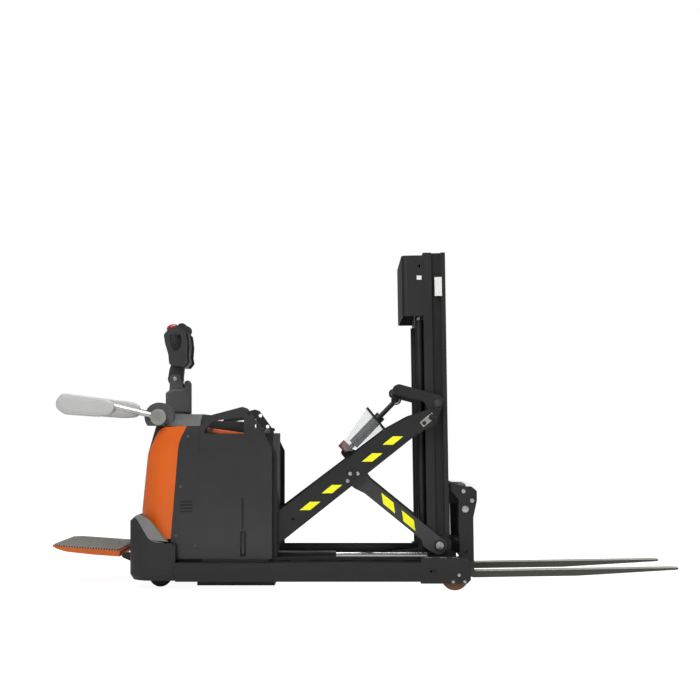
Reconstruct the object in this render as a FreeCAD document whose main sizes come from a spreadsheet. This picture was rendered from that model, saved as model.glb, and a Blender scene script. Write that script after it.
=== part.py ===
import FreeCAD, Part
import Sketcher
import math
import os

# Electric pallet stacker of the reach kind: two straddle legs, a battery box, a rear drive
# housing with a fold-down rider platform, and a mast that a pantograph pushes out.
# Millimetres. +X is towards the fork tips, +Z is up, and the origin is on the floor in the
# middle of the whole length. The right side of the machine is at -Y.

doc = FreeCAD.newDocument("pallet_stacker")
sheet = doc.addObject("Spreadsheet::Sheet", "Sizes")

# Each row: name, millimetres or degrees, what it measures
SIZES = (
    ("leg_half", 540, "outer faces of the straddle legs from the middle"),
    ("leg_wide", 100, "width of a leg"),
    ("leg_low", 49, "underside of a leg"),
    ("leg_high", 150, "top flange of a leg"),
    ("leg_wall", 8, "plate of a leg"),
    ("leg_rear", -1031, "rear end of a leg"),
    ("rail_high", 175, "top of the raised guide bar on a leg"),
    ("rail_thick", 14, "guide bar"),
    ("notch_pitch", 172, "weld notches along the guide bar"),
    ("notch_long", 56, "one weld notch"),
    ("toe_rear", 299, "start of the wheel box at a leg's end"),
    ("toe_front", 569, "front of the wheel box"),
    ("toe_low", 39, "underside of the wheel box"),
    ("toe_high", 178, "top of the wheel box"),
    ("toe_plate", 12, "side plates of the wheel box"),
    ("load_axle_x", 484, "load wheel axle"),
    ("load_radius", 75, "load wheel"),
    ("load_wide", 62, "load wheel"),
    ("load_pin", 12.5, "radius of the load wheel axle"),
    ("pivot_x", -559, "foot pivot of the long arms"),
    ("pivot_z", 231, "height of the foot pivots"),
    ("half_arm", 625, "foot to middle pivot, and middle to mast pivot"),
    ("foot_spacing", 970, "foot pivot to mast foot with the reach out"),
    ("reach_stroke", 550, "travel of the mast"),
    ("arm_out", 410, "outer face of the long arms from the middle"),
    ("arm_thick", 25, "plate of the long and short arms"),
    ("arm_gap", 10, "between the long and the short arms"),
    ("short_wide", 76, "depth of a short arm"),
    ("pin_radius", 25, "pivot pins of the arms"),
    ("pin_play", 0.05, "running clearance of a pin"),
    ("seat", 0.3, "gap between seated pieces"),
    ("tube_radius", 35, "cross tubes of the arms"),
    ("mast_lean", 0.9, "backward lean of the mast, degrees"),
    ("mast_rear", -67, "rear of the mast section from the pivot line"),
    ("mast_fore", 57, "front of the mast section from the pivot line"),
    ("mast_top", 1625, "top of the outer mast above the foot pivot"),
    ("mast_foot", -62, "lower end of the outer mast"),
    ("mast_half", 345, "outer faces of the outer mast from the middle"),
    ("mast_plate", 12, "walls of the mast sections"),
    ("slot_half", 20, "guide slot in the mast's side, behind the pivot line"),
    ("slot_fore", 32, "guide slot in the mast's side, in front of the pivot line"),
    ("slot_deep", 27, "depth of the guide slot"),
    ("inner_out", 256, "outer faces of the inner mast"),
    ("inner_wide", 42, "width of an inner mast section"),
    ("inner_foot", 20, "lower end of the inner mast above the foot pivot"),
    ("lift_radius", 22, "lift cylinder barrel"),
    ("lift_top", 1254, "upper end of the lift cylinder barrels"),
    ("lift_rod", 14, "radius of the lift rods"),
    ("fork_face", 197, "front face of the fork shanks from the pivot line"),
    ("fork_long", 1150, "blade length from the fork face"),
    ("fork_wide", 100, "fork blade"),
    ("fork_thick", 35, "fork blade at the heel"),
    ("fork_tip", 10, "fork blade at the tip"),
    ("fork_outer", 290, "outer edges of the forks from the middle"),
    ("fork_under", -189, "underside of the blades below the foot pivot"),
    ("battery_rear", -903, "rear of the battery box"),
    ("battery_front", -510, "front of the battery box"),
    ("battery_low", 190, "floor of the battery box"),
    ("box_low", 166, "lower edge of the side covers"),
    ("box_high", 851, "top of the battery box"),
    ("case_half", 370, "side walls of the battery case from the middle"),
    ("case_wall", 6, "plate of the battery case"),
    ("cover_half", 475, "outer faces of the side covers"),
    ("cover_wall", 8, "skin of the side covers"),
    ("cheek_out", 440, "outer faces of the arm brackets"),
    ("cheek_plate", 12, "outer plate of an arm bracket"),
    ("cheek_front", -486, "front edge of the arm brackets"),
    ("barrel_front", -166, "front end of the reach cylinder barrel"),
    ("barrel_radius", 22, "reach cylinder barrel"),
    ("reach_rod", 12, "radius of the reach cylinder rod"),
    ("reach_high", 147, "axis of the reach cylinder above the floor"),
    ("body_rear", -1240, "rear face of the drive housing"),
    ("body_half", 470, "sides of the drive housing from the middle"),
    ("body_wall", 6, "skin of the drive housing"),
    ("body_corner", 150, "plan radius of the housing's rear corners"),
    ("skirt_rear", -1295, "rearmost face of the bumper skirt"),
    ("skirt_half", 528, "sides of the bumper skirt from the middle"),
    ("skirt_wall", 8, "skin of the bumper skirt"),
    ("drive_x", -1090, "drive wheel axle"),
    ("drive_radius", 115, "drive wheel"),
    ("drive_wide", 75, "drive wheel"),
    ("castor_x", -1100, "swivel axis of the castors"),
    ("castor_y", 330, "castors from the middle"),
    ("castor_trail", 38, "axle behind the swivel axis"),
    ("castor_radius", 62, "castor wheel"),
    ("castor_wide", 40, "castor wheel"),
    ("platform_hinge_x", -1346, "hinge of the rider platform"),
    ("platform_hinge_z", 172, "hinge of the rider platform"),
    ("platform_tip", -1760, "outer edge of the rider platform"),
    ("platform_half", 330, "half the width of the rider platform"),
    ("platform_slope", 4, "rise of the platform towards its edge, degrees"),
    ("mat_thick", 8, "rubber mat"),
    ("guard_x", -1133, "pivot of the guard arms"),
    ("guard_y", 430, "outer faces of the guard arm bosses from the middle"),
    ("guard_z", 941, "pivot of the guard arms"),
    ("guard_boss", 80, "radius of the guard arm bosses"),
    ("pad_wide", 90, "pad of a guard arm"),
    ("tiller_x", -1097, "tilt pivot of the tiller"),
    ("tiller_z", 1167, "tilt pivot of the tiller"),
    ("head_rear", -1143, "rear of the tiller head"),
    ("head_front", -1012, "front of the tiller head"),
    ("head_low", 1240, "lower edge of the tiller head"),
    ("head_high", 1460, "top of the tiller head"),
)


class Size:
    """A length or an angle: its formula in the sheet's names, and its value now."""

    def __init__(self, formula, value):
        self.formula = formula
        self.value = float(value)

    def __add__(self, other):
        return joined(self, "+", other)

    def __radd__(self, other):
        return joined(other, "+", self)

    def __sub__(self, other):
        return joined(self, "-", other)

    def __rsub__(self, other):
        return joined(other, "-", self)

    def __mul__(self, other):
        return joined(self, "*", other)

    def __rmul__(self, other):
        return joined(other, "*", self)

    def __truediv__(self, other):
        return joined(self, "/", other)

    def __neg__(self):
        return joined(-1, "*", self)


def size_of(item):
    return item if isinstance(item, Size) else Size(f"({float(item):.6g})", item)


def joined(left, sign, right):
    left, right = size_of(left), size_of(right)
    if sign == "+":
        value = left.value + right.value
    elif sign == "-":
        value = left.value - right.value
    elif sign == "*":
        value = left.value * right.value
    else:
        value = left.value / right.value
    return Size(f"({left.formula} {sign} {right.formula})", value)


def angle_with_cosine(ratio):
    return Size(f"acos({ratio.formula})", math.degrees(math.acos(ratio.value)))


def cosine(angle):
    return Size(f"cos({angle.formula} * 1 deg)", math.cos(math.radians(angle.value)))


def sine(angle):
    return Size(f"sin({angle.formula} * 1 deg)", math.sin(math.radians(angle.value)))


class Sheet:
    """The named sizes, each written once in the spreadsheet."""


S = Sheet()
for row, (name, value, meaning) in enumerate(SIZES, start=1):
    sheet.set(f"A{row}", meaning)
    sheet.set(f"B{row}", str(value))
    sheet.setAlias(f"B{row}", name)
    setattr(S, name, Size(f"Sizes.{name}", value))
doc.recompute()

RIGHT, LEFT = -1, 1
SIDES = (("right", RIGHT), ("left", LEFT))
NODES = []


def bind(thing, path, size):
    """Ties one property to the formula of a size."""
    thing.setExpression(path, size_of(size).formula)


def keep(label, thing):
    """Names a finished sub-part, which is written to a file of that name."""
    thing.Label = label
    NODES.append(thing)
    return thing


def place(thing, x=0, y=0, z=0, turn=0, axis=(0, -1, 0)):
    """Puts a thing's own origin at a point, turned about an axis through it."""
    thing.Placement = FreeCAD.Placement(
        FreeCAD.Vector(*(size_of(v).value for v in (x, y, z))),
        FreeCAD.Rotation(FreeCAD.Vector(*axis), size_of(turn).value),
    )
    for name, size in (("x", x), ("y", y), ("z", z)):
        bind(thing, f"Placement.Base.{name}", size)
    if size_of(turn).value:
        bind(thing, "Placement.Rotation.Angle", turn)
    return thing


def new_body(label):
    return doc.addObject("PartDesign::Body", label)


# Which way each origin plane's sketch looks: its x, its y and its outward normal
PLANES = {"XY": "XY_Plane", "XZ": "XZ_Plane", "YZ": "YZ_Plane"}


def new_sketch(body, name, plane, right=0, up=0, out=0):
    """A sketch on one of the body's origin planes, its own origin moved by three sizes.

    On XY the sketch's x, y and outward ways are X, Y and Z. On XZ they are X, Z and -Y.
    On YZ they are Y, Z and X.
    """
    sketch = body.newObject("Sketcher::SketchObject", name)
    role = PLANES[plane]
    origin_plane = [f for f in body.Origin.OriginFeatures if f.Role == role][0]
    sketch.AttachmentSupport = [(origin_plane, "")]
    sketch.MapMode = "FlatFace"
    for axis_name, size in (("x", right), ("y", up), ("z", out)):
        if isinstance(size, Size) or size:
            bind(sketch, f"AttachmentOffset.Base.{axis_name}", size)
    return sketch

def fix_point(sketch, geometry, end, x, y):
    """Holds one point of a sketch at two sizes from the sketch's origin."""
    for kind, item in (("DistanceX", x), ("DistanceY", y)):
        size = size_of(item)
        index = sketch.addConstraint(
            Sketcher.Constraint(kind, -1, 1, geometry, end, size.value)
        )
        if isinstance(item, Size):
            sketch.setExpression(f"Constraints[{index}]", size.formula)


def draw(sketch, corners):
    """Draws a closed outline. Each corner is (x, y), or (x, y, radius) where it is rounded."""
    count = len(corners)
    points = [FreeCAD.Vector(size_of(c[0]).value, size_of(c[1]).value, 0) for c in corners]
    radii = [c[2] if len(c) > 2 else 0 for c in corners]
    starts, ends, arcs = [], [], {}
    for i, point in enumerate(points):
        way_in = (point - points[i - 1]).normalize()
        way_out = (points[(i + 1) % count] - point).normalize()
        radius = size_of(radii[i]).value
        turn = math.atan2(way_in.x * way_out.y - way_in.y * way_out.x, way_in.dot(way_out))
        reach = radius * math.tan(abs(turn) / 2)
        first, last = point - way_in * reach, point + way_out * reach
        ends.append(first)
        starts.append(last)
        if radius:
            side = 1 if turn > 0 else -1
            normal = FreeCAD.Vector(-way_in.y, way_in.x, 0) * side
            middle = first + normal * radius
            arcs[i] = (middle, radius, side, first, last)
    base = sketch.GeometryCount
    for i in range(count):
        sketch.addGeometry(Part.LineSegment(starts[i], ends[(i + 1) % count]))
    for i in range(count):
        line_in, line_out = base + (i - 1) % count, base + i
        if i not in arcs:
            sketch.addConstraint(Sketcher.Constraint("Coincident", line_in, 2, line_out, 1))
            fix_point(sketch, line_out, 1, corners[i][0], corners[i][1])
            continue
        middle, radius, side, first, last = arcs[i]
        begin, finish = (first, last) if side > 0 else (last, first)
        angles = [math.atan2((p - middle).y, (p - middle).x) for p in (begin, finish)]
        circle = Part.Circle(middle, FreeCAD.Vector(0, 0, 1), radius)
        arc = sketch.addGeometry(Part.ArcOfCircle(circle, angles[0], angles[1]))
        at_in, at_out = (1, 2) if side > 0 else (2, 1)
        sketch.addConstraint(Sketcher.Constraint("Tangent", line_in, 2, arc, at_in))
        sketch.addConstraint(Sketcher.Constraint("Tangent", arc, at_out, line_out, 1))
        held = sketch.addConstraint(Sketcher.Constraint("Radius", arc, radius))
        if isinstance(radii[i], Size):
            sketch.setExpression(f"Constraints[{held}]", radii[i].formula)
        corner = sketch.addGeometry(Part.Point(points[i]), True)
        sketch.addConstraint(Sketcher.Constraint("PointOnObject", corner, 1, line_in))
        sketch.addConstraint(Sketcher.Constraint("PointOnObject", corner, 1, line_out))
        fix_point(sketch, corner, 1, corners[i][0], corners[i][1])


def draw_ring(sketch, x, y, radius):
    """Draws a circle of a given radius."""
    centre = FreeCAD.Vector(size_of(x).value, size_of(y).value, 0)
    circle = Part.Circle(centre, FreeCAD.Vector(0, 0, 1), size_of(radius).value)
    index = sketch.addGeometry(circle)
    held = sketch.addConstraint(Sketcher.Constraint("Radius", index, size_of(radius).value))
    if isinstance(radius, Size):
        sketch.setExpression(f"Constraints[{held}]", radius.formula)
    fix_point(sketch, index, 3, x, y)


def profile(body, name, plane, low, high, outline=(), rings=()):
    """A sketch at the start of a stretch from low to high along its plane's normal."""
    start = -size_of(high) if plane == "XZ" else low
    sketch = new_sketch(body, name, plane, out=start)
    if outline:
        draw(sketch, outline)
    for x, y, radius in rings:
        draw_ring(sketch, x, y, radius)
    return sketch


def add(body, name, plane, low, high, outline=(), rings=()):
    """Pads an outline, with round holes, over the stretch from low to high."""
    feature_sketch = profile(body, f"{name}_outline", plane, low, high, outline, rings)
    feature = body.newObject("PartDesign::Pad", name)
    feature.Profile = feature_sketch
    bind(feature, "Length", size_of(high) - low)
    body.Tip = feature
    doc.recompute()
    return feature


def take(body, name, plane, low, high, outline=(), rings=()):
    """Pockets an outline or round holes over the stretch from low to high."""
    before = body.Shape.Volume
    feature_sketch = profile(body, f"{name}_outline", plane, low, high, outline, rings)
    feature = body.newObject("PartDesign::Pocket", name)
    feature.Profile = feature_sketch
    feature.Reversed = True
    bind(feature, "Length", size_of(high) - low)
    body.Tip = feature
    doc.recompute()
    if not body.Shape.Volume < before:
        raise RuntimeError(f"{name} cuts nothing")
    return feature


def prism(label, plane, low, high, outline=(), rings=()):
    """A body padded from one outline."""
    body = new_body(label)
    add(body, f"{label}_pad", plane, low, high, outline, rings)
    return body


def soften(body, name, radius, chosen):
    """Rounds the edges of a body that a test picks by their middle and direction."""
    doc.recompute()
    base = body.Tip
    names = []
    for number, edge in enumerate(base.Shape.Edges, start=1):
        middle = edge.valueAt((edge.FirstParameter + edge.LastParameter) / 2)
        way = edge.tangentAt((edge.FirstParameter + edge.LastParameter) / 2)
        if chosen(middle, way, edge):
            names.append(f"Edge{number}")
    feature = body.newObject("PartDesign::Fillet", name)
    feature.Base = (base, names)
    bind(feature, "Radius", radius)
    body.Tip = feature
    doc.recompute()
    return feature


# Turns a cylinder's own axis, which is Z, to another axis
AXES = {"X": ((0, 1, 0), 90), "Y": ((1, 0, 0), -90), "Z": ((0, 0, 1), 0)}


def rod(name, axis, x, y, z, radius, length):
    """A round bar from a point along an axis."""
    thing = doc.addObject("Part::Cylinder", name)
    bind(thing, "Radius", radius)
    bind(thing, "Height", length)
    way, turn = AXES[axis]
    point = FreeCAD.Vector(*(size_of(v).value for v in (x, y, z)))
    turned = FreeCAD.Rotation(FreeCAD.Vector(*way), turn)
    thing.Placement = FreeCAD.Placement(point, turned)
    for way_name, size in (("x", x), ("y", y), ("z", z)):
        bind(thing, f"Placement.Base.{way_name}", size)
    return thing


def across(name, x, z, radius, half, half_from=None):
    """A round bar along Y, right across the machine."""
    start = -size_of(half) if half_from is None else half_from
    return rod(name, "Y", x, start, z, radius, size_of(half) - start)


def block(name, x_span, y_span, z_span):
    """A box between two sizes along each axis."""
    thing = doc.addObject("Part::Box", name)
    spans = (x_span, y_span, z_span)
    for side, (low, high) in zip(("Length", "Width", "Height"), spans):
        bind(thing, side, size_of(high) - low)
    for way_name, (low, high) in zip("xyz", spans):
        bind(thing, f"Placement.Base.{way_name}", low)
    return thing


def joined_up(label, things):
    """One solid from several."""
    thing = doc.addObject("Part::MultiFuse", label)
    thing.Shapes = things
    return thing


def cut_from(label, base, tool):
    """A thing with the room of another cut out of it."""
    thing = doc.addObject("Part::Cut", label)
    thing.Base = base
    thing.Tool = tool
    return thing


def shared(label, base, tool):
    """What two things have in common."""
    thing = doc.addObject("Part::Common", label)
    thing.Base = base
    thing.Tool = tool
    return thing


def mirrored(label, thing):
    """The same thing on the machine's other side."""
    twin = doc.addObject("Part::Mirroring", label)
    twin.Source = thing
    twin.Normal = FreeCAD.Vector(0, 1, 0)
    return twin


def pair(label, thing):
    """A piece and its twin on the other side, apart in one node."""
    both = doc.addObject("Part::Compound", label)
    both.Links = [thing, mirrored(f"{label}_twin", thing)]
    return both


def spun(label, half_profile, x, y, z):
    """A round piece about an axis along Y: corners of (distance along Y, radius)."""
    body = new_body(label)
    sketch = new_sketch(body, f"{label}_section", "YZ")
    draw(sketch, half_profile)
    feature = body.newObject("PartDesign::Revolution", f"{label}_turned")
    feature.Profile = sketch
    feature.ReferenceAxis = (sketch, ["H_Axis"])
    feature.Angle = 360
    body.Tip = feature
    doc.recompute()
    return place(body, x, y, z)


# Straddle legs: a channel that opens inwards, a guide bar with weld notches on its top
# flange, and a wheel box at the front end.

TOE_CHAMFER = 26
WHEEL_ROOM = 6


def leg(side_name, side):
    outer = side * S.leg_half
    web = side * (S.leg_half - S.leg_wall)
    inner = side * (S.leg_half - S.leg_wide)
    bar = side * (S.leg_half - S.leg_wide + S.rail_thick)
    section = [
        (outer, S.leg_low), (inner, S.leg_low), (inner, S.leg_low + S.leg_wall),
        (web, S.leg_low + S.leg_wall), (web, S.leg_high - S.leg_wall),
        (inner, S.leg_high - S.leg_wall), (inner, S.rail_high), (bar, S.rail_high),
        (bar, S.leg_high), (outer, S.leg_high),
    ]
    body = prism(f"{side_name}_leg_plates", "YZ", S.leg_rear, S.toe_rear, section)
    low, high = sorted((outer, inner), key=lambda v: v.value)
    box = [
        (S.toe_rear, S.toe_low), (S.toe_front - 20, S.toe_low), (S.toe_front, S.toe_low + 20),
        (S.toe_front, S.toe_high - TOE_CHAMFER), (S.toe_front - TOE_CHAMFER, S.toe_high),
        (S.toe_rear, S.toe_high),
    ]
    add(body, f"{side_name}_toe", "XZ", low, high, box)
    well_low, well_high = low + S.toe_plate, high - S.toe_plate
    half_well = S.load_radius + WHEEL_ROOM
    well = [
        (S.load_axle_x - half_well, S.toe_low - 5), (S.load_axle_x + half_well, S.toe_low - 5),
        (S.load_axle_x + half_well, S.load_radius * 2 + WHEEL_ROOM),
        (S.load_axle_x - half_well, S.load_radius * 2 + WHEEL_ROOM),
    ]
    take(body, f"{side_name}_wheel_well", "XZ", well_low, well_high, well)
    channel_low, channel_high = sorted((inner, web), key=lambda v: v.value)
    take(body, f"{side_name}_roller_channel", "XZ", channel_low, channel_high, [
        (S.toe_rear - 5, S.leg_low + S.leg_wall), (S.toe_rear + 53, S.leg_low + S.leg_wall),
        (S.toe_rear + 53, S.leg_high - S.leg_wall), (S.toe_rear - 5, S.leg_high - S.leg_wall),
    ])
    take(body, f"{side_name}_jack_hole", "XZ", low, high,
         rings=[(S.toe_rear + 54, S.toe_high - 72, 8)])
    first = S.toe_rear - 84
    bar_low, bar_high = sorted((bar, bar - side * 5), key=lambda v: v.value)
    notch = take(body, f"{side_name}_notch", "XZ", bar_low, bar_high, [
        (first, S.leg_high), (first + S.notch_long, S.leg_high),
        (first + S.notch_long, S.leg_high + 9), (first, S.leg_high + 9),
    ])
    row = body.newObject("PartDesign::LinearPattern", f"{side_name}_notches")
    row.Originals = [notch]
    row.Direction = (body.Origin.OriginFeatures[0], [""])
    row.Reversed = True
    bind(row, "Length", S.notch_pitch * 6)
    row.Occurrences = 7
    body.Tip = row
    doc.recompute()
    return body


axle_from = S.leg_half - S.leg_wide - 3
near_axle = across("load_axle", S.load_axle_x, S.load_radius, S.load_pin, S.leg_half,
                   axle_from)
for side_name, side in SIDES:
    axle = near_axle if side == LEFT else mirrored("right_load_axle", near_axle)
    plates = leg(side_name, side)
    keep(f"{side_name}_leg", joined_up(f"{side_name}_leg_fused", [plates, axle]))

# Load wheels: a rolled tread on a hub that turns on the axle

for side_name, side in SIDES:
    bore = S.load_pin + S.pin_play
    half = S.load_wide / 2
    wheel = spun(f"{side_name}_load_wheel", [
        (-half, bore), (half, bore), (half, S.load_radius - 8), (half - 8, S.load_radius),
        (8 - half, S.load_radius), (-half, S.load_radius - 8),
    ], S.load_axle_x, side * (S.leg_half - S.leg_wide / 2), S.load_radius)
    keep(f"{side_name}_load_wheel", wheel)

# Base: the tray under the battery, the cross walls, and the deck that carries the drive
# unit and the castors inside the housing

leg_inner = S.leg_half - S.leg_wide
tray = block("tray", (S.battery_rear - 20, S.cheek_front - 12), (-leg_inner, leg_inner),
             (18, S.leg_low + S.leg_wall))
floor = block("battery_floor", (S.battery_rear, S.battery_front), (-S.case_half, S.case_half),
              (S.battery_low - 12, S.battery_low))
walls = []
for index, start in enumerate((S.battery_rear, S.battery_front - 12)):
    wall = block(f"cross_wall_{index}", (start, start + 12), (-S.case_half, S.case_half),
                 (S.leg_low + S.leg_wall, S.battery_low))
    walls.append(wall)

DECK_LOW, DECK_HIGH = 238, 252
deck_half = S.body_half - S.body_wall - S.seat
deck_front = S.battery_rear - S.seat
deck_rear = S.body_rear + S.body_wall + S.seat
deck_corner = S.body_corner - S.body_wall
deck_parts = [
    prism("deck_plate", "XY", DECK_LOW, DECK_HIGH, [
        (deck_front, -deck_half), (deck_front, deck_half),
        (deck_rear, deck_half, deck_corner), (deck_rear, -deck_half, deck_corner),
    ], rings=[(S.drive_x, 0, 106)]),
    block("deck_wall", (deck_front - 12, deck_front), (-leg_inner, leg_inner),
          (S.leg_low, DECK_LOW + 1)),
]
for side_name, side in SIDES:
    deck_parts.append(rod(f"{side_name}_castor_post", "Z", S.castor_x, side * S.castor_y, 192,
                          30, DECK_LOW - 191))
base_solid = joined_up("base_solid", [tray, floor] + walls + deck_parts)
barrel_room = rod("barrel_room", "X", S.battery_rear - 30, 0, S.reach_high,
                  S.barrel_radius, S.battery_front - S.battery_rear + 60)
keep("base_frame", cut_from("base_cut", base_solid, barrel_room))

# Battery case: an open box with a heavy battery block, and a lid

case_low = S.battery_low
case_outer = block("case_outer", (S.battery_rear, S.battery_front),
                   (-S.case_half, S.case_half), (case_low, S.box_high))
case_inner = block("case_inner", (S.battery_rear + S.case_wall, S.battery_front - S.case_wall),
                   (S.case_wall - S.case_half, S.case_half - S.case_wall),
                   (case_low + S.case_wall, S.box_high + 5))
keep("battery_case", cut_from("case_cut", case_outer, case_inner))

cell_gap = 12
cells = block("cells", (S.battery_rear + S.case_wall + cell_gap,
                        S.battery_front - S.case_wall - cell_gap),
              (S.case_wall + cell_gap - S.case_half, S.case_half - S.case_wall - cell_gap),
              (case_low + S.case_wall, S.box_high - 60))
keep("battery", cells)

lid = prism("battery_lid", "XZ", -S.case_half, S.case_half, [
    (S.battery_rear + 4, S.box_high), (S.battery_front - 60, S.box_high),
    (S.battery_front - 60, S.box_high + 22, 10), (S.battery_front - 150, S.box_high + 30, 10),
    (S.battery_front - 164, S.box_high + 66, 14), (S.battery_rear + 50, S.box_high + 72, 20),
    (S.battery_rear + 4, S.box_high + 30, 10),
])
keep("battery_lid", lid)

# Side covers: pans that close the room of the arms beside the battery

cover_low = S.case_half + S.seat


cover_skin = S.cover_half - S.cover_wall
cover_front = S.battery_front - S.seat
cover = prism("cover_skin", "XZ", cover_skin, S.cover_half, [
    (S.battery_rear, S.box_low), (cover_front, S.box_low), (cover_front, S.box_high - 82),
    (cover_front - 42, S.box_high), (S.battery_rear, S.box_high),
])
add(cover, "cover_rear", "XZ", cover_low, cover_skin, [
    (S.battery_rear, S.battery_low), (S.battery_rear + S.cover_wall, S.battery_low),
    (S.battery_rear + S.cover_wall, S.box_high - S.cover_wall),
    (cover_front - 42, S.box_high - S.cover_wall), (cover_front - 42, S.box_high),
    (S.battery_rear, S.box_high),
])
sill = block("sill", (S.battery_rear + S.cover_wall, S.battery_front - 20),
             (cover_skin - 8, cover_skin), (S.leg_high + S.seat, S.box_low + 20))
keep("side_covers", pair("side_covers_pair", joined_up("side_cover_set", [cover, sill])))

# Guard plates: bent bars over the covers that carry nothing but keep the load off

guard = prism("guard_plate", "XZ", S.cover_half - 10, S.cover_half, [
    (S.battery_rear, S.box_high), (S.battery_rear + 24, S.box_high),
    (S.battery_rear + 24, S.box_high + 21, 10), (S.battery_rear + 75, S.box_high + 68, 25),
    (S.battery_front - 154, S.box_high + 90, 8), (S.battery_front - 154, S.box_high),
    (S.battery_front - 43, S.box_high), (S.battery_front - 56, S.box_high + 30, 20),
    (S.battery_front - 132, S.box_high + 136, 22), (S.battery_front - 162, S.box_high + 146, 15),
    (S.battery_rear + 58, S.box_high + 100, 35), (S.battery_rear, S.box_high + 44, 12),
], rings=[(S.battery_front - 128, S.box_high + 108, 11), (S.battery_front - 84, S.box_high + 40, 11)])
keep("guard_plates", pair("guard_plates_pair", guard))

# Arm brackets: two cheeks each side, with the pin that the long arm turns on

outer_cheek = prism("outer_cheek", "XZ", S.cheek_out - S.cheek_plate, S.cheek_out, [
    (S.cheek_front - 150, S.leg_low + S.leg_wall), (S.cheek_front, S.leg_low + S.leg_wall),
    (S.cheek_front, S.box_high - 110), (S.cheek_front - 42, S.box_high - 20),
    (S.cheek_front - 150, S.box_high - 20),
])
inner_cheek = prism("inner_cheek", "XZ", S.case_half, S.case_half + 8, [
    (S.pivot_x - 70, S.leg_low + S.leg_wall), (S.cheek_front, S.leg_low + S.leg_wall),
    (S.cheek_front, S.pivot_z + 40, 20), (S.pivot_x + 40, S.pivot_z + 90, 20),
    (S.pivot_x - 70, S.pivot_z + 90),
])
foot_pin = across("foot_pin", S.pivot_x, S.pivot_z, S.pin_radius, S.cheek_out - 1, S.case_half + 1)
bracket = joined_up("arm_bracket", [outer_cheek, inner_cheek, foot_pin])
keep("arm_brackets", pair("arm_brackets_pair", bracket))

# Reach cylinder: its barrel lies in the base, and its rod pushes the mast foot

barrel_long = S.reach_stroke + 110
barrel = rod("barrel_tube", "X", S.barrel_front - barrel_long, 0, S.reach_high,
             S.barrel_radius - S.seat, barrel_long)
barrel_bore = rod("barrel_bore", "X", S.barrel_front - barrel_long + 40, 0, S.reach_high,
                  S.reach_rod + S.seat, barrel_long)
keep("reach_barrel", cut_from("reach_barrel_cut", barrel, barrel_bore))

# Long arms: two tapering plates that cross tubes join, with a lug for the tilt cylinder

reach_angle = angle_with_cosine(S.foot_spacing / (2 * S.half_arm))
full_arm = 2 * S.half_arm
arm_inner = S.arm_out - S.arm_thick
TIP_U, TIP_V = full_arm - 84, -33
LUG_U, LUG_V = S.half_arm + 43, 112
arm_plate = prism("arm_plate", "XZ", arm_inner, S.arm_out, [
    (-58, -42, 40), (full_arm - 215, -54, 30), (full_arm - 85, -74, 30),
    (full_arm - 44, -42, 28), (full_arm - 60, 8, 25), (full_arm - 160, 44, 30),
    (full_arm - 315, 73, 30), (150, 100, 40), (-58, 52, 45),
], rings=[
    (0, 0, S.pin_radius + S.pin_play), (S.half_arm, 0, S.pin_radius),
    (TIP_U, TIP_V, S.pin_radius - 7), (218, 14, 9),
])
GUARD_U = full_arm - 321
tubes = [
    across("arm_tube_low", 330, 22, S.tube_radius, arm_inner + 1),
    across("arm_tube_high", S.half_arm + 122, 14, S.tube_radius, arm_inner + 1),
]
middle_pin = across("middle_pin", S.half_arm, 0, S.pin_radius, S.arm_out + 6,
                    arm_inner - S.arm_gap - S.arm_thick - 3)
tip_pin = across("tip_pin", TIP_U, TIP_V, S.pin_radius - 7, S.arm_out + 8,
                 arm_inner - 5 - 24 - 2)
lug = prism("tilt_lug", "XZ", 16, 28, [
    (LUG_U - 24, LUG_V + 24, 20), (LUG_U - 24, LUG_V - 24, 15), (S.half_arm + 90, -6),
    (S.half_arm + 130, -6), (S.half_arm + 130, 30), (LUG_U + 24, LUG_V + 24, 20),
], rings=[(LUG_U, LUG_V, 12)])
lug_pin = across("lug_pin", LUG_U, LUG_V, 12, 30)
guard_bar = across("guard_bar", GUARD_U, 68, 9, arm_inner + 1)
guard_frame = prism("guard_frame", "YZ", GUARD_U - 6, GUARD_U + 6, [
    (-74, 62), (74, 62), (74, 236, 8), (-74, 236, 8),
], rings=[(0, 144, 47)])
near = [arm_plate, middle_pin, tip_pin, lug]
far = [mirrored(f"far_{thing.Name}", thing) for thing in near]
long_arms = joined_up("long_arms_fused",
                      near + far + tubes + [lug_pin, guard_bar, guard_frame])
place(long_arms, S.pivot_x, 0, S.pivot_z, reach_angle)
keep("long_arms", long_arms)

# Clear sheets each side of the tilt cylinder, held by the frame across the arms

sheet = prism("guard_sheet", "XZ", 66, 70, [
    (LUG_U + 36, 96), (GUARD_U - 6 - S.seat, 80), (GUARD_U - 6 - S.seat, 232),
    (LUG_U + 6, 158), (LUG_U + 4, 120),
])
sheets = pair("cylinder_guard_pair", sheet)
place(sheets, S.pivot_x, 0, S.pivot_z, reach_angle)
keep("cylinder_guard", sheets)

# Short arms: flat plates from the middle pivot down to the mast foot, joined by a tube

short_out = arm_inner - S.arm_gap
short_inner = short_out - S.arm_thick
half_short = S.short_wide / 2
short_plate = prism("short_plate", "XZ", short_inner, short_out, [
    (-52, -52, 50), (60, -52, 40), (120, -half_short, 60), (S.half_arm - 100, -half_short, 30),
    (S.half_arm - 60, -62, 20), (S.half_arm + 40, -46, 40), (S.half_arm + 40, half_short, 36),
    (120, half_short, 60), (60, 52, 40), (-52, 52, 50),
], rings=[
    (0, 0, S.pin_radius + S.pin_play), (S.half_arm, 0, S.pin_radius + S.pin_play),
])
short_tube = across("short_tube", 138, 0, 26, short_inner + 1)
short_arms = joined_up("short_arms_fused",
                       [short_plate, mirrored("far_short_plate", short_plate), short_tube])
middle_x = S.pivot_x + S.foot_spacing / 2
rise = S.half_arm * Size(f"sin({reach_angle.formula})",
                         math.sin(math.radians(reach_angle.value)))
middle_z = S.pivot_z + rise
down_angle = Size(f"(0 deg - {reach_angle.formula})", -reach_angle.value)
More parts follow.
